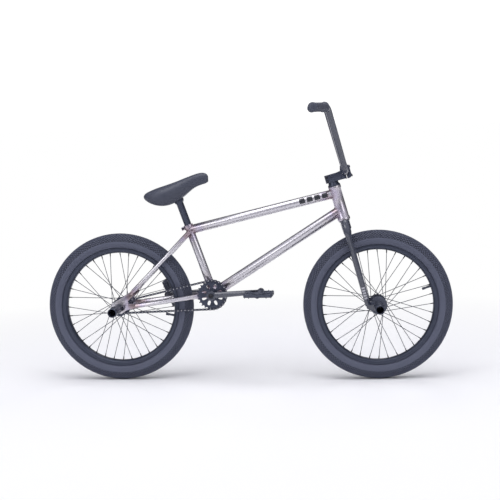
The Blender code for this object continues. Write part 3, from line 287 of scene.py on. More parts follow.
# %% Plain finishes
# each: name, colour, worn colour, roughness, metallic, grain, relief, wear, clear coat
FINISHES = [
    ("gloss_black_paint", (0.040, 0.046, 0.070), (0.16, 0.16, 0.18), 0.24, 0.0, 90.0, 0.00006, 0.35, 1.0),
    ("satin_anodised_black", (0.052, 0.060, 0.090), (0.22, 0.22, 0.24), 0.36, 0.55, 260.0, 0.00004, 0.4),
    ("moulded_plastic_black", (0.050, 0.057, 0.085), (0.10, 0.10, 0.11), 0.46, 0.0, 700.0, 0.00010, 0.5),
    ("grip_rubber_black", (0.058, 0.064, 0.090), (0.07, 0.07, 0.075), 0.62, 0.0, 900.0, 0.00012, 0.3),
    ("chain_steel_black", (0.060, 0.064, 0.088), (0.30, 0.29, 0.29), 0.34, 0.8, 300.0, 0.00003, 0.6),
    ("spoke_black", (0.060, 0.064, 0.085), (0.20, 0.20, 0.22), 0.30, 0.6, 300.0, 0.0, 0.2),
    ("zinc_plated_steel", (0.50, 0.50, 0.52), (0.32, 0.31, 0.31), 0.28, 1.0, 220.0, 0.00003, 0.5),
    ("blackened_bolt", (0.045, 0.045, 0.052), (0.25, 0.24, 0.24), 0.30, 0.85, 240.0, 0.00003, 0.4),
    ("saddle_cover_black", (0.046, 0.052, 0.078), (0.075, 0.075, 0.082), 0.50, 0.0, 520.0, 0.00022, 0.25),
    ("tyre_rubber_black", (0.082, 0.091, 0.134), (0.085, 0.085, 0.092), 0.62, 0.0, 240.0, 0.00020, 0.25),
    # the tread groove colour is painted shade: darker than the tyre rubber, for the shade between the knobs
    ("tread_groove_painted_shade", (0.026, 0.029, 0.044), (0.045, 0.045, 0.055), 0.80, 0.0, 240.0, 0.00020, 0.2),
    ("dark_print", (0.022, 0.024, 0.032), (0.12, 0.12, 0.13), 0.35, 0.0, 300.0, 0.0, 0.3),
    ("pale_print", (0.42, 0.42, 0.46), (0.25, 0.25, 0.28), 0.40, 0.0, 300.0, 0.0, 0.4)]
(gloss_black, satin_black, moulded_black, grip_black, chain_black, spoke_black, zinc, bolt_black, cover_black,
 tyre_black, tread_painted_shade, dark_print, pale_print) = [plain_finish(*facts) for facts in FINISHES]
print("finishes:", len(bpy.data.materials))

# %% [markdown]
# The bare frame is brushed steel under a thin clear coat. Where it was welded, heat has drawn straw,
# violet and blue bands. The bands follow the distance to the nearest joint, so the material measures
# that distance in a group: every piece's Object coordinates are the bike's own coordinates.

# %% Joint places
BB = Vector((-0.121947, 0.0, 0.304))
REAR_AXLE = Vector((-0.454, 0.0, 0.260))
SEAT_UP = Vector((-math.cos(math.radians(70.8)), 0.0, math.sin(math.radians(70.8))))
STEER_UP = Vector((-math.cos(math.radians(74.8)), 0.0, math.sin(math.radians(74.8))))
STEER_FOOT = Vector((0.42505, 0.0, 0.252134))
TOP_TUBE = (STEER_FOOT + STEER_UP * 0.4125, BB + SEAT_UP * 0.2385, 0.0159)
DOWN_TUBE = (STEER_FOOT + STEER_UP * 0.3520, BB, 0.01745)
HEAD_TUBE_R, SEAT_TUBE_R, SHELL_R = 0.0200, 0.0143, 0.0245


def joint_spot(start, end, gap):
    """The point on the line from start towards end, where the tube leaves its neighbour."""
    return start + (end - start).normalized() * gap


WELDS = [joint_spot(TOP_TUBE[0], TOP_TUBE[1], HEAD_TUBE_R),
         joint_spot(TOP_TUBE[1], TOP_TUBE[0], SEAT_TUBE_R),
         joint_spot(DOWN_TUBE[0], DOWN_TUBE[1], HEAD_TUBE_R),
         joint_spot(DOWN_TUBE[1], DOWN_TUBE[0], SHELL_R), BB + SEAT_UP * SHELL_R]
for side in (-1, 1):
    WELDS += [BB + Vector((-SHELL_R, side * 0.027, 0.0)),
              BB + SEAT_UP * 0.228 + Vector((-0.012, side * 0.020, 0.0)),
              Vector((-0.404, side * 0.058, 0.305)), Vector((-0.396, side * 0.058, 0.269))]

# %% Raw steel
near_weld, given, result = new_group("weld_distance", {}, {"Value": "NodeSocketFloat"})
where = add_node(near_weld, "TexCoord").outputs["Object"]
nearest = None
for weld in WELDS:
    gap = add_node(near_weld, "VectorMath", {0: where, 1: weld}, operation="DISTANCE").outputs["Value"]
    nearest = (add_node(near_weld, "Math", {0: nearest, 1: gap}, operation="MINIMUM").outputs[0]
               if nearest is not None else gap)
near_weld.links.new(nearest, result.inputs["Value"])


def steel_finish(name, brushed, relief):
    """Bare steel under a clear coat, tinted near the welds."""
    material, tree, shader = new_material(name)
    distance = add_node(tree, "Group", node_tree=near_weld).outputs["Value"]
    tinted = add_node(tree, "Group", {"Distance": distance}, node_tree=heat).outputs["Color"]
    marks = add_node(tree, "Group", {"Scale": 22.0, "Amount": 0.12}, node_tree=scuffs).outputs["Mask"]
    speck = add_node(tree, "Group", {"Scale": brushed}, node_tree=grain).outputs["Value"]
    set_surface(tree, shader, blend(tree, marks, tinted, (0.42, 0.40, 0.42)), (speck, 0.25, 0.30),
                0.9, 0.5, 0.08, relief)
    return material


raw_steel = steel_finish("raw_steel_clear_coated", 24.0, 0.0)
weld_steel = steel_finish("weld_bead_steel", 500.0, 0.00005)
print("weld places:", len(WELDS))

# %% [markdown]
# ## Keeping the model's own pieces
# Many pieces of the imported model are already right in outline: the tubes, dropouts, stem, cranks and
# nuts. Their meshes are loose triangles with knife-sharp edges, and no real part is that sharp. Each is
# copied, its flat faces are joined up again, its edges get a small bevel, and the copy stands in.

# %% Refined copies
def settle(piece, name, finish, body, angle=35.0):
    """Fixes a finished piece's place in its mesh, and gives it a name, normals, finish and body."""
    select_only(piece)
    bpy.ops.object.transform_apply(location=True, rotation=True, scale=True)
    bpy.ops.object.shade_smooth_by_angle(angle=math.radians(angle))
    piece.name = name
    piece.data.materials.clear()
    piece.data.materials.append(finish)
    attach(piece, body)
    return piece


def apply_modifiers(piece):
    """Applies every modifier of the piece in order."""
    select_only(piece)
    for modifier in list(piece.modifiers):
        bpy.ops.object.modifier_apply(modifier=modifier.name)


def bevelled(piece, width, segments, angle):
    """Rounds every edge that is sharper than the angle in degrees."""
    rounded = piece.modifiers.new("rounded", "BEVEL")
    rounded.width = width
    rounded.segments = segments
    rounded.limit_method = "ANGLE"
    rounded.angle_limit = math.radians(angle)
    apply_modifiers(piece)


def body_of_node(node):
    """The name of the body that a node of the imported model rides."""
    bodies = frame["record"]["behaviour"]["bodies"]
    return next(name for name, members in bodies.items() if node in members)


def refine(node, finish, bevel=0.0004):
    """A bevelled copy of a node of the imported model, in its place."""
    cad = frame["nodes"][node]
    piece = bpy.data.objects.new(node + "_fine", cad.data.copy())
    bpy.context.scene.collection.objects.link(piece)
    piece.matrix_world = cad.matrix_world.copy()
    select_only(piece)
    bpy.ops.object.mode_set(mode="EDIT")
    bpy.ops.mesh.select_all(action="SELECT")
    bpy.ops.mesh.remove_doubles(threshold=0.00001)
    bpy.ops.mesh.dissolve_limited(angle_limit=math.radians(1.0))
    bpy.ops.object.mode_set(mode="OBJECT")
    bevelled(piece, bevel, 2, 42.0)
    settle(piece, node + "_fine", finish, body_of_node(node))
    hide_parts(node)


# %% Refined frame, fork and fittings
for node in ("head_tube", "top_tube", "down_tube", "seat_tube", "bb_shell", "chainstay_right",
             "chainstay_left", "seatstay_right", "seatstay_left", "dropout_right", "dropout_left",
             "seat_clamp"):
    refine(node, raw_steel)
for node in ("fork_steerer", "fork_leg_right", "fork_leg_left", "crank_arm_right", "crank_arm_left"):
    refine(node, gloss_black, 0.0012)
for node in ("headset_cover", "stem_body", "stem_front_clamp", "bb_bearing_right", "bb_bearing_left",
             "crank_spindle", "seat_post", "rear_peg_right", "rear_peg_left", "front_peg_right",
             "front_peg_left", "sprocket", "driver_cog"):
    refine(node, satin_black, 0.0003 if node in ("sprocket", "driver_cog") else 0.0008)
for node in ("headset_bearing_upper", "headset_bearing_lower", "rear_axle", "front_axle",
             "rear_axle_nut_right", "rear_axle_nut_left", "front_axle_nut_right", "front_axle_nut_left",
             "pedal_spindle_right", "pedal_spindle_left"):
    refine(node, bolt_black if "nut" in node else zinc, 0.0005)
for node in ("front_hub_guard_right", "front_hub_guard_left", "pedal_right", "pedal_left", "bar_end_right",
             "bar_end_left"):
    refine(node, moulded_black, 0.0010)

# %% [markdown]
# ## Two ways to make repeated and turned things
# Wheels, grips and rims are turned: a profile is swept about an axle. Spokes, knobs, chain plates and
# pins are repeated: one is modelled and set in every place. Both are worth a helper.

# %% Turned and repeated pieces
def new_piece(name, points, edges, faces):
    """A mesh piece made from its points, edges and faces."""
    mesh = bpy.data.meshes.new(name)
    mesh.from_pydata(points, edges, faces)
    piece = bpy.data.objects.new(name, mesh)
    bpy.context.scene.collection.objects.link(piece)
    return piece


def close_up(piece):
    """Welds a piece's double points and turns its faces outward."""
    select_only(piece)
    bpy.ops.object.mode_set(mode="EDIT")
    bpy.ops.mesh.select_all(action="SELECT")
    bpy.ops.mesh.remove_doubles(threshold=0.00001)
    bpy.ops.mesh.normals_make_consistent(inside=False)
    bpy.ops.object.mode_set(mode="OBJECT")


def edit_faces(piece, wanted):
    """Goes into edit mode with only the wanted faces selected."""
    select_only(piece)
    bpy.ops.object.mode_set(mode="EDIT")
    bpy.ops.mesh.select_mode(type="FACE")
    bpy.ops.mesh.select_all(action="DESELECT")
    bpy.ops.object.mode_set(mode="OBJECT")
    for face in piece.data.polygons:
        face.select = wanted(face)
    bpy.ops.object.mode_set(mode="EDIT")


def lathe(profile, place, steps, closed=False):
    """Spins a profile of (radius, distance along the axle) about local Y, then puts it in place."""
    edges = [(i, i + 1) for i in range(len(profile) - 1)]
    if closed:
        edges.append((len(profile) - 1, 0))
    piece = new_piece("turned", [(r, y, 0.0) for r, y in profile], edges, [])
    select_only(piece)
    bpy.ops.object.mode_set(mode="EDIT")
    bpy.ops.mesh.select_all(action="SELECT")
    bpy.ops.mesh.spin(steps=steps, angle=2 * math.pi, center=(0, 0, 0), axis=(0, 1, 0))
    bpy.ops.object.mode_set(mode="OBJECT")
    close_up(piece)
    piece.matrix_world = place
    bpy.context.view_layer.update()
    return piece


def repeat(model, places):
    """One new piece that holds the model's mesh in every one of the places."""
    points = [v.co.copy() for v in model.data.vertices]
    faces = [tuple(p.vertices) for p in model.data.polygons]
    all_points, all_faces = [], []
    for place in places:
        first = len(all_points)
        all_points += [place @ p for p in points]
        all_faces += [[first + i for i in face] for face in faces]
    return new_piece("repeated", all_points, [], all_faces)


def remove(piece):
    """Takes a used pattern piece out of the scene."""
    bpy.data.objects.remove(piece, do_unlink=True)


def primitive(operator, **settings):
    """Adds a primitive by itself and fixes its place in its mesh."""
    deselect()
    operator(**settings)
    bpy.ops.object.transform_apply(location=True, rotation=True, scale=True)
    return bpy.context.object


def aim(start, end):
    """A place at start whose +Z points to end."""
    direction = Vector(end) - Vector(start)
    return Matrix.Translation(Vector(start)) @ direction.to_track_quat("Z", "Y").to_matrix().to_4x4()


def joined(pieces):
    """Joins several new pieces in the first."""
    deselect()
    for piece in pieces:
        piece.select_set(True)
    bpy.context.view_layer.objects.active = pieces[0]
    if len(pieces) > 1:
        bpy.ops.object.join()
    return pieces[0]


def axle_place(joint):
    """The frame of a wheel: its axle along local Y, from the joint's own place and axis."""
    facts = next(j for j in frame["joints"] if j["name"] == joint)
    side = Vector(facts["axis"]).normalized()
    up = (Vector((0, 0, 1)) - side * side.z).normalized()
    turn = Matrix((side.cross(up), side, up)).transposed().to_4x4()
    return Matrix.Translation(Vector(facts["pos_m"])) @ turn


FRONT_WHEEL = axle_place("front_wheel_spin")
REAR_WHEEL = axle_place("rear_wheel_spin")
print("front axle", [round(x, 4) for x in FRONT_WHEEL.translation])

# %% [markdown]
# ## Tyres
# A fat freestyle tyre has a smooth sidewall, a thin raised line where the casing meets the tread, and
# a crown covered in small diamond knobs. The casing is turned; one knob is modelled and laid round the
# crown in rows, each row half a step on from the last.

# %% Tyre casings and knobs
TYRE_R, SECTION, BEAD_EDGE = 0.260, 0.0297, 0.2099
KNOB_HIGH = 0.0022
KNOB_STEP = math.radians(2.5)


def casing_profile():
    """The tyre's section from one bead over the crown to the other."""
    middle, wall = TYRE_R - SECTION, SECTION - KNOB_HIGH * 0.4
    arch = []
    for k in range(41):
        angle = math.radians(128 - 6.4 * k)
        swell = wall - (KNOB_HIGH * 0.6 if abs(angle) < math.radians(83) else 0.0)
        if abs(abs(angle) - math.radians(90)) < 0.05:
            swell += 0.0006
        arch.append((middle + swell * math.cos(angle), swell * math.sin(angle)))
    beads = [(0.2042, 0.0153), (BEAD_EDGE, 0.0157), (0.2112, 0.0190)]
    return beads + arch + [(r, -y) for r, y in reversed(beads)]


def knob_places(wheel):
    """Rows of knobs across the crown, half a step apart in alternate rows."""
    middle = TYRE_R - SECTION
    places = []
    for row in range(-9, 10):
        lean = math.radians(8.6 * row)
        steps = round(2 * math.pi / KNOB_STEP)
        for k in range(steps):
            turn = Matrix.Rotation((k + 0.5 * (row % 2)) * KNOB_STEP, 4, "Y")
            out = Matrix.Translation((middle, 0, 0)) @ Matrix.Rotation(lean, 4, "Z")
            out = out @ Matrix.Translation((SECTION - KNOB_HIGH, 0, 0))
            places.append(wheel @ turn @ out @ Matrix.Rotation(math.pi / 2, 4, "Y"))
    return places


def diamond_knob():
    """A low four-sided frustum whose corners point round and across the tyre."""
    knob = primitive(bpy.ops.mesh.primitive_cone_add, vertices=4, radius1=0.0038, radius2=0.0031,
                     depth=KNOB_HIGH, location=(0, 0, KNOB_HIGH / 2))
    edit_faces(knob, lambda face: face.normal.z < -0.9)
    bpy.ops.mesh.delete(type="ONLY_FACE")
    bpy.ops.object.mode_set(mode="OBJECT")
    knob.scale = (1.15, 0.80, 1.0)
    bpy.ops.object.transform_apply(location=False, rotation=False, scale=True)
    return knob


knob = diamond_knob()
for prefix, wheel in (("front", FRONT_WHEEL), ("rear", REAR_WHEEL)):
    casing = lathe(casing_profile(), wheel, 144)
    settle(casing, prefix + "_tyre_casing", tyre_black, prefix + "_wheel")
    # painted shade: the floor between the knobs gets a darker colour than the sidewall, standing in for the shade
    # that falls between the knobs
    casing.data.materials.append(tread_painted_shade)
    for face in casing.data.polygons:
        spot = wheel.inverted() @ face.center
        out = math.hypot(spot.x, spot.z) - (TYRE_R - SECTION)
        face.material_index = 1 if abs(math.atan2(spot.y, out)) < math.radians(82) else 0
    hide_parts(prefix + "_tyre")
    knobs = repeat(knob, knob_places(wheel))
    settle(knobs, prefix + "_tyre_knobs", tyre_black, prefix + "_wheel", 20.0)
    print(prefix, "casing faces", len(casing.data.polygons), "knob faces", len(knobs.data.polygons))
remove(knob)

# %% [markdown]
# ## Rims, hubs and lacing
# A double-walled rim is turned with its two hooked edges. Thirty-six spokes hold it to the hub in the
# three-cross pattern: eighteen leave each flange, alternate ones leaning forward and back, and each
# ends in a black nipple that stands out of the rim. A valve for the inner tube stands out between two.

# %% Rims
def rim_profile():
    """The rim's closed section, from the tyre well round the hooked edges to the inner wall."""
    half = [(0.2028, 0.0000), (0.2028, 0.0060), (0.2036, 0.0135), (0.2060, 0.0162), (0.2092, 0.0163),
            (0.2097, 0.0170), (0.2095, 0.0180), (0.2080, 0.0185), (0.2010, 0.0181), (0.1985, 0.0176),
            (0.1955, 0.0140), (0.1925, 0.0102), (0.1919, 0.0060), (0.1918, 0.0000)]
    return half + [(r, -y) for r, y in reversed(half[1:-1])]


for prefix, wheel in (("front", FRONT_WHEEL), ("rear", REAR_WHEEL)):
    rim = lathe(rim_profile(), wheel, 144, True)
    settle(rim, prefix + "_rim_turned", satin_black, prefix + "_wheel", 40.0)
    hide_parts(prefix + "_rim")

# %% Hub shells
def hub_profile(near, far, low, high, barrel, flange, bore):
    """A hub shell's section: bearing seats, two flanges with rounded rims, and a waisted barrel."""
    def side(place, outward):
        thick = 0.0016
        return [(0.0168, place + outward * 0.0050), (flange - 0.0030, place + outward * thick),
                (flange - 0.0006, place + outward * thick), (flange, place + outward * 0.0009),
                (flange, place - outward * 0.0009), (flange - 0.0006, place - outward * thick),
                (flange - 0.0040, place - outward * thick), (barrel + 0.0020, place - outward * 0.0045),
                (barrel, place - outward * 0.0085)]
    middle = (near + far) / 2
    return ([(bore, low), (0.0150, low), (0.0158, low + 0.0008)] + side(near, -1)
            + [(barrel - 0.0006, middle)] + side(far, 1)[::-1]
            + [(0.0158, high - 0.0008), (0.0150, high), (bore, high)])


def lacing(near, far, flange):
    """Each spoke as (head, end at the rim), with elbows in and out by turns."""
    spokes = []
    for face, offset in ((near, 0.0), (far, 10.0)):
        for k in range(18):
            lean = 60.0 if k % 2 else -60.0
            shift = 0.0013 if k % 2 else -0.0013
            a, b = math.radians(20.0 * k + offset), math.radians(20.0 * k + offset + lean)
            hole = flange - 0.0035
            spokes.append((Vector((hole * math.cos(a), face + shift, hole * math.sin(a))),
                           Vector((0.1925 * math.cos(b), face * 0.10, 0.1925 * math.sin(b)))))
    return spokes


def spoke_pattern(spoke_length):
    """A round spoke along +Z with the head of its elbow at the origin."""
    shank = primitive(bpy.ops.mesh.primitive_cylinder_add, vertices=8, radius=0.0011, depth=spoke_length,
                      location=(0, 0, spoke_length / 2))
    head = primitive(bpy.ops.mesh.primitive_uv_sphere_add, segments=8, ring_count=5, radius=0.0015)
    return joined([shank, head])


def nipple_pattern():
    """A nipple along -Z from the rim: a collar and a tapered shank."""
    collar = primitive(bpy.ops.mesh.primitive_cylinder_add, vertices=10, radius=0.0030, depth=0.0016,
                       location=(0, 0, 0.0004))
    shank = primitive(bpy.ops.mesh.primitive_cone_add, vertices=10, radius1=0.0021, radius2=0.0016,
                      depth=0.0110, rotation=(math.pi, 0, 0), location=(0, 0, -0.0055))
    return joined([collar, shank])


# sizes: near flange, far flange, right end, left end, barrel, flange radius, bore
HUBS = {"front": (-0.0340, 0.0340, -0.0415, 0.0415, 0.0150, 0.0290, 0.0052),
        "rear": (-0.0360, 0.0270, -0.0480, 0.0340, 0.0190, 0.0300, 0.0074)}
nipple = nipple_pattern()
for prefix, wheel in (("front", FRONT_WHEEL), ("rear", REAR_WHEEL)):
    near, far, low, high, barrel, flange, bore = HUBS[prefix]
    shell = lathe(hub_profile(near, far, low, high, barrel, flange, bore), wheel, 64, True)
    settle(shell, prefix + "_hub_shell", satin_black, prefix + "_wheel", 40.0)
    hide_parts(prefix + "_hub")
    wires = lacing(near, far, flange)
    spoke = spoke_pattern((wires[0][1] - wires[0][0]).length)
    spokes = repeat(spoke, [wheel @ aim(start, end) for start, end in wires])
    settle(spokes, prefix + "_spokes", spoke_black, prefix + "_wheel", 60.0)
    outer_ends = [Matrix.Translation((0, 0, (end - start).length - 0.0004)) for start, end in wires]
    nipples = repeat(nipple, [wheel @ aim(*wire) @ reach for wire, reach in zip(wires, outer_ends)])
    settle(nipples, prefix + "_nipples", bolt_black, prefix + "_wheel", 40.0)
    remove(spoke)
    print(prefix, "spokes:", len(wires))
remove(nipple)

# %% Valves
def valve(wheel, body, angle):
    """A car-type valve: rubber-covered stem and cap, pointing to the axle."""
    turn = wheel @ Matrix.Rotation(angle, 4, "Y") @ Matrix.Rotation(-math.pi / 2, 4, "Y")
    stem = primitive(bpy.ops.mesh.primitive_cone_add, vertices=16, radius1=0.0041, radius2=0.0036,
                     depth=0.020, location=(0, 0, 0.010))
    cap = primitive(bpy.ops.mesh.primitive_cylinder_add, vertices=16, radius=0.0045, depth=0.0120,
                    location=(0, 0, 0.0245))
    bevelled(cap, 0.0010, 2, 30.0)
    piece = joined([stem, cap])
    piece.matrix_world = turn @ Matrix.Translation((0, 0, -0.1925))
    bpy.context.view_layer.update()
    settle(piece, body + "_valve", moulded_black, body, 40.0)


valve(FRONT_WHEEL, "front_wheel", math.radians(-18.0))
valve(REAR_WHEEL, "rear_wheel", math.radians(10.0))

# %% [markdown]
# ## Handlebar and grips
# The bar is one bent tube, so it is drawn as a curve with rounded corners and given a round section.
# The crossbar is welded between the uprights. The grips are turned with close rings of ribs.

# %% Steering frame and bar
SIDE = FRONT_WHEEL.to_3x3().col[1].copy()
STEERING = (Matrix.Translation(STEER_FOOT)
            @ Matrix((SIDE.cross(STEER_UP), SIDE, STEER_UP)).transposed().to_4x4())
BAR_R, BAR_REACH, BAR_LOW, BAR_RISE, BEND_Y = 0.0111, 0.0505, 0.4736, 0.233, 0.195
BACKSWEEP, UPSWEEP, BAR_HALF = math.radians(15.3), math.radians(3.9), 0.3685
CROSSBAR_HEIGHT = 0.105


def rounded_path(corners, radii, steps):
    """A path through the corners, each inner corner rounded to its bend radius."""
    path = [Vector(corners[0])]
    for i, radius in enumerate(radii, start=1):
        corner = Vector(corners[i])
        back = (Vector(corners[i - 1]) - corner).normalized()
        ahead = (Vector(corners[i + 1]) - corner).normalized()
        half = back.angle(ahead) / 2
        centre = corner + (back + ahead).normalized() * (radius / math.sin(half))
        first = (corner + back * radius / math.tan(half) - centre).normalized()
        last = (corner + ahead * radius / math.tan(half) - centre).normalized()
        path += [centre + radius * first.slerp(last, k / steps) for k in range(steps + 1)]
    path.append(Vector(corners[-1]))
    return path


def tube_along(path, radius, name, resolution=6, shares=None, cyclic=False):
    """A round tube along a path, as a mesh with closed ends."""
    curve = bpy.data.curves.new(name, "CURVE")
    curve.dimensions = "3D"
    curve.bevel_depth = radius
    curve.bevel_resolution = resolution
    curve.use_fill_caps = not cyclic
    spline = curve.splines.new("POLY")
    spline.points.add(len(path) - 1)
    spline.use_cyclic_u = cyclic
    for i, (point, spot) in enumerate(zip(spline.points, path)):
        point.co = (*spot, 1.0)
        point.radius = shares[i] if shares else 1.0
    piece = bpy.data.objects.new(name, curve)
    bpy.context.scene.collection.objects.link(piece)
    select_only(piece)
    bpy.ops.object.convert(target="MESH")
    piece = bpy.context.object
    close_up(piece)
    return piece


bend = Vector((BAR_REACH, BEND_Y, BAR_LOW + BAR_RISE))
grip_line = Vector((-math.sin(BACKSWEEP), math.cos(BACKSWEEP), math.sin(UPSWEEP))).normalized()
bar_end = bend + grip_line * (BAR_HALF - BEND_Y) / grip_line.y
corners = [Vector((BAR_REACH, 0, BAR_LOW)), Vector((BAR_REACH, 0.048, BAR_LOW)), bend, bar_end]
left_half = rounded_path(corners, (0.045, 0.040), 16)
right_half = [Vector((p.x, -p.y, p.z)) for p in reversed(left_half)]
bar = tube_along([STEERING @ p for p in right_half[:-1] + left_half[1:]], BAR_R, "bar", 7)
settle(bar, "handlebar_tube", gloss_black, "steering", 40.0)
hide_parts("handlebar")
joint_y = 0.048 + (BEND_Y - 0.048) * CROSSBAR_HEIGHT / BAR_RISE
cross_ends = [STEERING @ Vector((BAR_REACH, s * joint_y, BAR_LOW + CROSSBAR_HEIGHT)) for s in (-1, 1)]
crossbar = tube_along(cross_ends, 0.0080, "crossbar", 6)
settle(crossbar, "crossbar_tube", gloss_black, "steering", 40.0)
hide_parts("handlebar_crossbar")
print("bar length", round(sum((b - a).length for a, b in zip(left_half, left_half[1:])) * 2, 3), "m")

# %% Grips
GRIP_LONG = 0.1440


def grip_profile():
    """A flange, then rings of ribs with a plain band at each end."""
    outline = [(0.0113, 0.0), (0.0170, 0.0), (0.0172, 0.0010), (0.0172, 0.0028), (0.0150, 0.0046),
               (0.0140, 0.0060)]
    ribs, first, last = 32, 0.0100, GRIP_LONG - 0.0080
    step = (last - first) / ribs
    for k in range(ribs):
        start = first + (last - first) * k / ribs
        outline += [(0.0138, start), (0.0148, start + step * 0.25), (0.0148, start + step * 0.65),
                    (0.0138, start + step * 0.90)]
    outline += [(0.0140, GRIP_LONG - 0.0060), (0.0152, GRIP_LONG - 0.0045), (0.0152, GRIP_LONG - 0.0005),
                (0.0113, GRIP_LONG)]
    return outline


for side_name, s in (("right", -1), ("left", 1)):
    end = Vector((bar_end.x, s * bar_end.y, bar_end.z))
    line = Vector((grip_line.x, s * grip_line.y, grip_line.z))
    place = STEERING @ aim(end - line * GRIP_LONG, end) @ Matrix.Rotation(math.pi / 2, 4, "X")
    grip = lathe(grip_profile(), place, 40, True)
    settle(grip, "grip_ribbed_" + side_name, grip_black, "steering", 25.0)
    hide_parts("grip_" + side_name)

# %% [markdown]
# ## Chain
# A half-inch chain is two kinds of link by turns: inner links with a roller at each end, and outer
# links whose pins pass through the rollers. Its path is solved, not drawn: the pins walk round the
# sprocket and the cog one pitch at a time, so every roller sits in a tooth's seat.

# %% Chain path
PITCH, LINKS, CHAINLINE = 0.0127, 70, 0.043
SPROCKET_R = PITCH / (2 * math.sin(math.pi / 25))
COG_R = PITCH / (2 * math.sin(math.pi / 9))


def chain_pins():
    """The pin centres in the (x, z) plane, from where the upper run leaves the sprocket."""
    cog, wheel = Vector((REAR_AXLE.x, REAR_AXLE.z)), Vector((BB.x, BB.z))
    reach = (wheel - cog).length
    rise = math.asin((wheel.y - cog.y) / reach)
    spread = math.asin((SPROCKET_R - COG_R) / reach)
    upper, lower = rise + math.pi / 2 + spread, rise - math.pi / 2 - spread
    run = math.sqrt(reach**2 - (SPROCKET_R - COG_R)**2)
    wrap = COG_R * (lower + 2 * math.pi - upper)

    def unit(angle):
        return Vector((math.cos(angle), math.sin(angle)))

    def point(length):
        if length <= run:
            return (wheel + SPROCKET_R * unit(upper)).lerp(cog + COG_R * unit(upper), length / run)
        if length <= run + wrap:
            return cog + COG_R * unit(upper + (length - run) / COG_R)
        if length <= 2 * run + wrap:
            share = (length - run - wrap) / run
            return (cog + COG_R * unit(lower)).lerp(wheel + SPROCKET_R * unit(lower), share)
        return wheel + SPROCKET_R * unit(lower + (length - 2 * run - wrap) / SPROCKET_R)

    pins, length = [point(0.0)], 0.0
    for _ in range(LINKS - 1):
        low, high = length, length + 1.5 * PITCH
        for _ in range(40):
            middle = (low + high) / 2
            if (point(middle) - pins[-1]).length < PITCH:
                low = middle
            else:
                high = middle
        length = low
        pins.append(point(length))
    return pins


# %% Chain pieces
def plate_outline(radius, waist, steps=7):
    """A waisted side plate: round ends about both pins, narrower between them."""
    outline = []
    for centre, start in ((PITCH, -1.0), (0.0, math.pi - 1.0)):
        for k in range(steps):
            angle = start + 2.0 * k / (steps - 1)
            outline.append((centre + radius * math.cos(angle), radius * math.sin(angle)))
        outline.append((PITCH / 2, waist if start < 0 else -waist))
    return outline


def flat_piece(outline, thickness):
    """An outline in local XZ, filled and thickened along Y."""
    points = [(x, -thickness / 2, z) for x, z in outline]
    piece = new_piece("plate", points, [], [list(range(len(outline)))])
    select_only(piece)
    bpy.ops.object.mode_set(mode="EDIT")
    bpy.ops.mesh.select_all(action="SELECT")
    bpy.ops.mesh.extrude_region_move(TRANSFORM_OT_translate={"value": (0, thickness, 0)})
    bpy.ops.object.mode_set(mode="OBJECT")
    close_up(piece)
    return piece


pins = chain_pins()
frames = []
for i, pin in enumerate(pins):
    ahead = (pins[(i + 1) % LINKS] - pin).normalized()
    turn = Matrix(((ahead.x, 0, -ahead.y, 0), (0, 1, 0, 0), (ahead.y, 0, ahead.x, 0), (0, 0, 0, 1)))
    frames.append(Matrix.Translation((pin.x, -CHAINLINE, pin.y)) @ turn)
inner = flat_piece(plate_outline(0.0041, 0.0027), 0.0011)
outer = flat_piece(plate_outline(0.0043, 0.0029), 0.0011)
roller = primitive(bpy.ops.mesh.primitive_cylinder_add, vertices=12, radius=0.0038, depth=0.0034,
                   rotation=(math.pi / 2, 0, 0))
pin_rod = primitive(bpy.ops.mesh.primitive_cylinder_add, vertices=10, radius=0.0018, depth=0.0080,
                    rotation=(math.pi / 2, 0, 0))
# outer plates stand proud of the inner plates by a plate's thickness
inner_links, outer_links = [
    repeat(plate, [f @ Matrix.Translation((0, s * proud, 0)) for f in frames[first::2] for s in (-1, 1)])
    for plate, proud, first in ((inner, 0.0023, 1), (outer, 0.0034, 0))]
rollers = repeat(roller, frames)
rods = repeat(pin_rod, frames)
for pattern in (inner, outer, roller, pin_rod):
    remove(pattern)
chain = settle(joined([inner_links, outer_links]), "chain_plates", chain_black, "frame", 30.0)
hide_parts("chain")
settle(joined([rollers, rods]), "chain_rollers_and_pins", zinc, "frame", 30.0)
print("chain closes to", round(((pins[-1] - pins[0]).length - PITCH) * 1000, 4), "mm")

# %% [markdown]
# ## Welds
# Each tube ends on its neighbour in a fillet laid in short overlapping scales. The seam follows the
# line where one round tube meets another, which is found tube wall by tube wall, and its thickness
# rises and falls along it as a torch leaves it.

# %% Weld beads
def seam(start, end, radius, axis_point, axis, neighbour, count=96):
    """Where the wall of the tube from start to end meets a round neighbour on the axis."""
    line = (end - start).normalized()
    place = aim(start, end)
    points = []
    for k in range(count):
        angle = 2 * math.pi * k / count
        wall = place @ Vector((radius * math.cos(angle), radius * math.sin(angle), 0.0))
        flat = wall - axis_point - axis * (wall - axis_point).dot(axis)
        step = line - axis * line.dot(axis)
        a, b, c = step.dot(step), flat.dot(step), flat.dot(flat) - neighbour**2
        root = b * b - a * c
        points.append(wall + line * ((-b + math.sqrt(max(root, 0.0))) / a))
    return points


def weld(name, points, size=0.0021, cyclic=True):
    """A bead of overlapping scales along the seam."""
    shares = [1.0 if k % 2 else 0.80 for k in range(len(points))]
    bead = tube_along(points, size, name, 2, shares, cyclic)
    return settle(bead, name, weld_steel, "frame", 70.0)


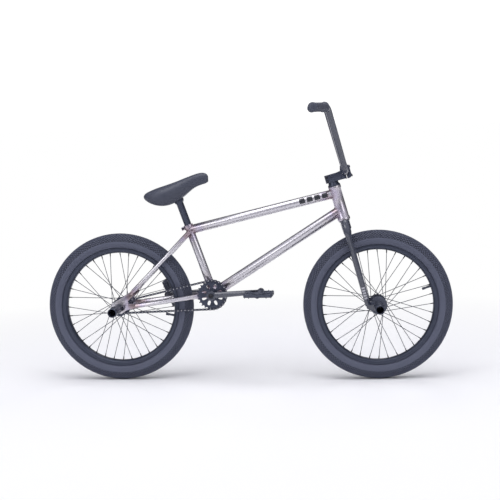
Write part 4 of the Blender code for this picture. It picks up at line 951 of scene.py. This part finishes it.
seams = {
    "weld_top_tube_head": (TOP_TUBE[0], TOP_TUBE[1], TOP_TUBE[2], STEER_FOOT, STEER_UP, HEAD_TUBE_R),
    "weld_down_tube_head": (DOWN_TUBE[0], DOWN_TUBE[1], DOWN_TUBE[2], STEER_FOOT, STEER_UP, HEAD_TUBE_R),
    "weld_top_tube_seat": (TOP_TUBE[1], TOP_TUBE[0], TOP_TUBE[2], BB, SEAT_UP, SEAT_TUBE_R),
    "weld_down_tube_shell": (DOWN_TUBE[1], DOWN_TUBE[0], DOWN_TUBE[2], BB, Vector((0, 1, 0)), SHELL_R),
    "weld_seat_tube_shell": (BB, BB + SEAT_UP, SEAT_TUBE_R, BB, Vector((0, 1, 0)), SHELL_R)}
for name, facts in seams.items():
    weld(name, seam(*facts))
for side_name, s in (("right", -1), ("left", 1)):
    root, ahead = Vector((BB.x, s * 0.0268, BB.z)), Vector((-0.166, s * 0.0285, 0.2985))
    weld("weld_chainstay_" + side_name, seam(root, ahead, 0.0095, BB, Vector((0, 1, 0)), SHELL_R, 64), 0.0016)
    root, ahead = BB + SEAT_UP * 0.2330 + Vector((0, s * 0.0205, 0)), Vector((-0.2760, s * 0.0385, 0.4440))
    weld("weld_seatstay_" + side_name, seam(root, ahead, 0.0080, BB, SEAT_UP, SEAT_TUBE_R, 64), 0.0015)

# %% [markdown]
# ## Bolts and pedal pins
# Socket-head bolts hold the stem's front clamp, pinch the stem and the seat clamp, and lock the
# cranks. One bolt is modelled with its round socket and set in every place. Pedal pins are small studs
# that stick up and down from the platform's frame.

# %% Bolts
def bolt_pattern(radius, high):
    """A socket-head bolt: the head stands on z = 0 and its socket opens at the top."""
    bolt = primitive(bpy.ops.mesh.primitive_cylinder_add, vertices=18, radius=radius, depth=high,
                     location=(0, 0, high / 2))
    edit_faces(bolt, lambda face: face.normal.z > 0.9)
    bpy.ops.mesh.inset(thickness=radius * 0.42)
    bpy.ops.mesh.extrude_region_move(TRANSFORM_OT_translate={"value": (0, 0, -high * 0.6)})
    bpy.ops.object.mode_set(mode="OBJECT")
    bevelled(bolt, radius * 0.10, 2, 50.0)
    return bolt


bolt = bolt_pattern(0.0040, 0.0035)
front_face, top_face = BAR_REACH + 0.0170, BAR_LOW + 0.0245
stem_places = []
for s in (-1, 1):
    for z in (BAR_LOW - 0.0160, BAR_LOW + 0.0160):
        start = Vector((front_face, s * 0.0185, z))
        stem_places.append(STEERING @ aim(start, start + Vector((1, 0, 0))))
for z, s in ((0.4600, -1), (0.4735, -1)):
    start = Vector((-0.0180, s * 0.0170, z))
    stem_places.append(STEERING @ aim(start, start + Vector((0, s, 0))))
settle(repeat(bolt, stem_places), "stem_bolts", bolt_black, "steering", 40.0)
back = Vector((-math.sin(math.radians(70.8)), 0, -math.cos(math.radians(70.8))))
start = BB + SEAT_UP * 0.2504 + back * 0.0205 + Vector((0, -0.0085, 0))
clamp_places = [aim(start, start + Vector((0, -1, 0)))]
start = start + Vector((0, 0.0170, 0))
clamp_places.append(aim(start, start + Vector((0, 1, 0))))
settle(repeat(bolt, clamp_places), "seat_clamp_bolt", bolt_black, "frame", 40.0)
remove(bolt)
bolt = bolt_pattern(0.0082, 0.0030)
crank_places = [aim(Vector((BB.x, s * 0.0745, BB.z)), Vector((BB.x, s * 0.1, BB.z))) for s in (-1, 1)]
settle(repeat(bolt, crank_places), "crank_bolts", bolt_black, "crank", 40.0)
remove(bolt)

# %% Pedal pins
pin = primitive(bpy.ops.mesh.primitive_cone_add, vertices=8, radius1=0.0021, radius2=0.0014, depth=0.0034,
                location=(0, 0, 0.0072))
PEDAL_INNER, PEDAL_WIDE, PEDAL_LONG = 0.0825, 0.0960, 0.0490
for side_name, s, tilt in (("right", -1, 0.0), ("left", 1, math.radians(67.0))):
    pivot = next(j for j in frame["joints"] if j["name"] == "pedal_%s_spin" % side_name)["pos_m"]
    base = Matrix.Translation(Vector((pivot[0], 0.0, pivot[2]))) @ Matrix.Rotation(tilt, 4, "Y")
    spots = []
    for share in (0.12, 0.34, 0.66, 0.88):
        for x in (-PEDAL_LONG + 0.0038, PEDAL_LONG - 0.0038):
            spots.append((x, PEDAL_INNER + PEDAL_WIDE * share))
    for x in (-0.030, 0.030):
        for y in (PEDAL_INNER + 0.0038, PEDAL_INNER + PEDAL_WIDE - 0.0038):
            spots.append((x, y))
    places = []
    for x, y in spots:
        for flip in (0.0, math.pi):
            places.append(base @ Matrix.Translation((x, s * y, 0)) @ Matrix.Rotation(flip, 4, "X"))
    settle(repeat(pin, places), "pedal_pins_" + side_name, moulded_black, "pedal_" + side_name)
remove(pin)

# %% [markdown]
# ## Printed bars
# Frames and forks of this kind carry bold prints. Here they are plain bars: thin shells that follow the
# tube's wall a hair above it, so that they bend and shine with the tube.

# %% Printed bars
def printed_bars(start, end, radius, bars, low, high):
    """Curved patches on a tube: bars are (from, to) along it, low..high degrees up from its right side."""
    line = (end - start).normalized()
    right = Vector((0, -1, 0))
    right = (right - line * right.dot(line)).normalized()
    up = right.cross(line).normalized()
    up = up if up.z > 0 else -up
    points, faces = [], []
    for first, last in bars:
        base = len(points)
        for k in range(9):
            angle = math.radians(low + (high - low) * k / 8)
            wall = (right * math.cos(angle) + up * math.sin(angle)) * (radius + 0.00035)
            points += [start + line * first + wall, start + line * last + wall]
        faces += [(base + 2 * k, base + 2 * k + 1, base + 2 * k + 3, base + 2 * k + 2) for k in range(8)]
    piece = new_piece("printed_bars", points, [], faces)
    shell = piece.modifiers.new("thickness", "SOLIDIFY")
    shell.thickness = 0.0002
    shell.offset = 0.0
    apply_modifiers(piece)
    return piece


blocks = [(0.030 + 0.027 * k, 0.050 + 0.027 * k) for k in range(4)]
print_on_tube = printed_bars(TOP_TUBE[0], TOP_TUBE[1], TOP_TUBE[2], blocks, -22, 42)
settle(print_on_tube, "top_tube_print", dark_print, "frame", 60.0)
thin = printed_bars(TOP_TUBE[0], TOP_TUBE[1], TOP_TUBE[2], [(0.018, 0.026)], -10, 42)
settle(thin, "top_tube_print_pale", pale_print, "frame", 60.0)
leg_top = STEERING @ Vector((-0.0030, -0.0520, 0.1180))
leg_foot = STEERING @ Vector((-0.0040, -0.0560, 0.0120))
bars = [(0.024 + 0.009 * k, 0.030 + 0.009 * k) for k in range(5)]
fork_print = printed_bars(leg_foot, leg_top, 0.0103, bars, -32, 30)
settle(fork_print, "fork_print", pale_print, "steering", 60.0)

# %% [markdown]
# ## Saddle
# A freestyle saddle is a thin foam pad under a stretched cover, stapled over a moulded base, with the
# nose tipped up. The pad is lofted through cross-sections that grow from a narrow nose to a wide, low
# tail, then subdivided so that it reads as stuffed.

# %% Saddle pad
# each section: x, underside, top, half width
SADDLE = [(-0.3575, 0.6430, 0.6560, 0.0240), (-0.3480, 0.6330, 0.6650, 0.0470),
          (-0.3220, 0.6200, 0.6760, 0.0660), (-0.2880, 0.6140, 0.6870, 0.0700),
          (-0.2560, 0.6190, 0.6965, 0.0590), (-0.2220, 0.6400, 0.7090, 0.0390),
          (-0.1860, 0.6740, 0.7230, 0.0250), (-0.1560, 0.6860, 0.7315, 0.0220),
          (-0.1380, 0.6910, 0.7290, 0.0200), (-0.1315, 0.6950, 0.7200, 0.0150)]


def saddle_ring(x, low, high, half):
    """Sixteen points round a section: a soft crown, full sides and a tucked lower edge."""
    tall = high - low
    right = [(0.0, high), (half * 0.36, high - tall * 0.02), (half * 0.68, high - tall * 0.09),
             (half * 0.90, high - tall * 0.22), (half, low + tall * 0.55), (half * 0.98, low + tall * 0.28),
             (half * 0.88, low + tall * 0.04), (half * 0.45, low)]
    return ([(x, y, z) for y, z in right] + [(x, 0.0, low + tall * 0.03)]
            + [(x, -y, z) for y, z in right[:0:-1]])


rings = [saddle_ring(*row) for row in SADDLE]
count, last = len(rings[0]), len(rings) - 1
quads = [(r * count + i, r * count + (i + 1) % count, (r + 1) * count + (i + 1) % count, (r + 1) * count + i)
         for r in range(last) for i in range(count)]
ends = [tuple(range(count))[::-1], tuple(last * count + i for i in range(count))]
pad = new_piece("saddle_pad", [p for ring in rings for p in ring], [], quads + ends)
close_up(pad)
edit_faces(pad, lambda face: len(face.vertices) > 4)
bpy.ops.mesh.inset(thickness=0.004)
bpy.ops.mesh.inset(thickness=0.004)
bpy.ops.object.mode_set(mode="OBJECT")
soft = pad.modifiers.new("soft", "SUBSURF")
soft.levels = 3
soft.render_levels = 3
apply_modifiers(pad)
# foam gives a little unevenly under its stretched cover
for vertex in pad.data.vertices:
    swell = noise.noise(vertex.co * 26.0) * 0.0006 + noise.noise(vertex.co * 70.0) * 0.0002
    vertex.co += vertex.normal * (swell - 0.0008)
settle(pad, "saddle_pad", cover_black, "saddle", 60.0)
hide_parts("saddle")
print("saddle faces", len(pad.data.polygons), "box", [round(x, 3) for x in pad.dimensions])

# %% Print the sizes
def as_lists(box):
    return json.loads(json.dumps(box, default=list))


sizes = {"cad": as_lists(cad_box), "finished": as_lists(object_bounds())}
print(sizes)
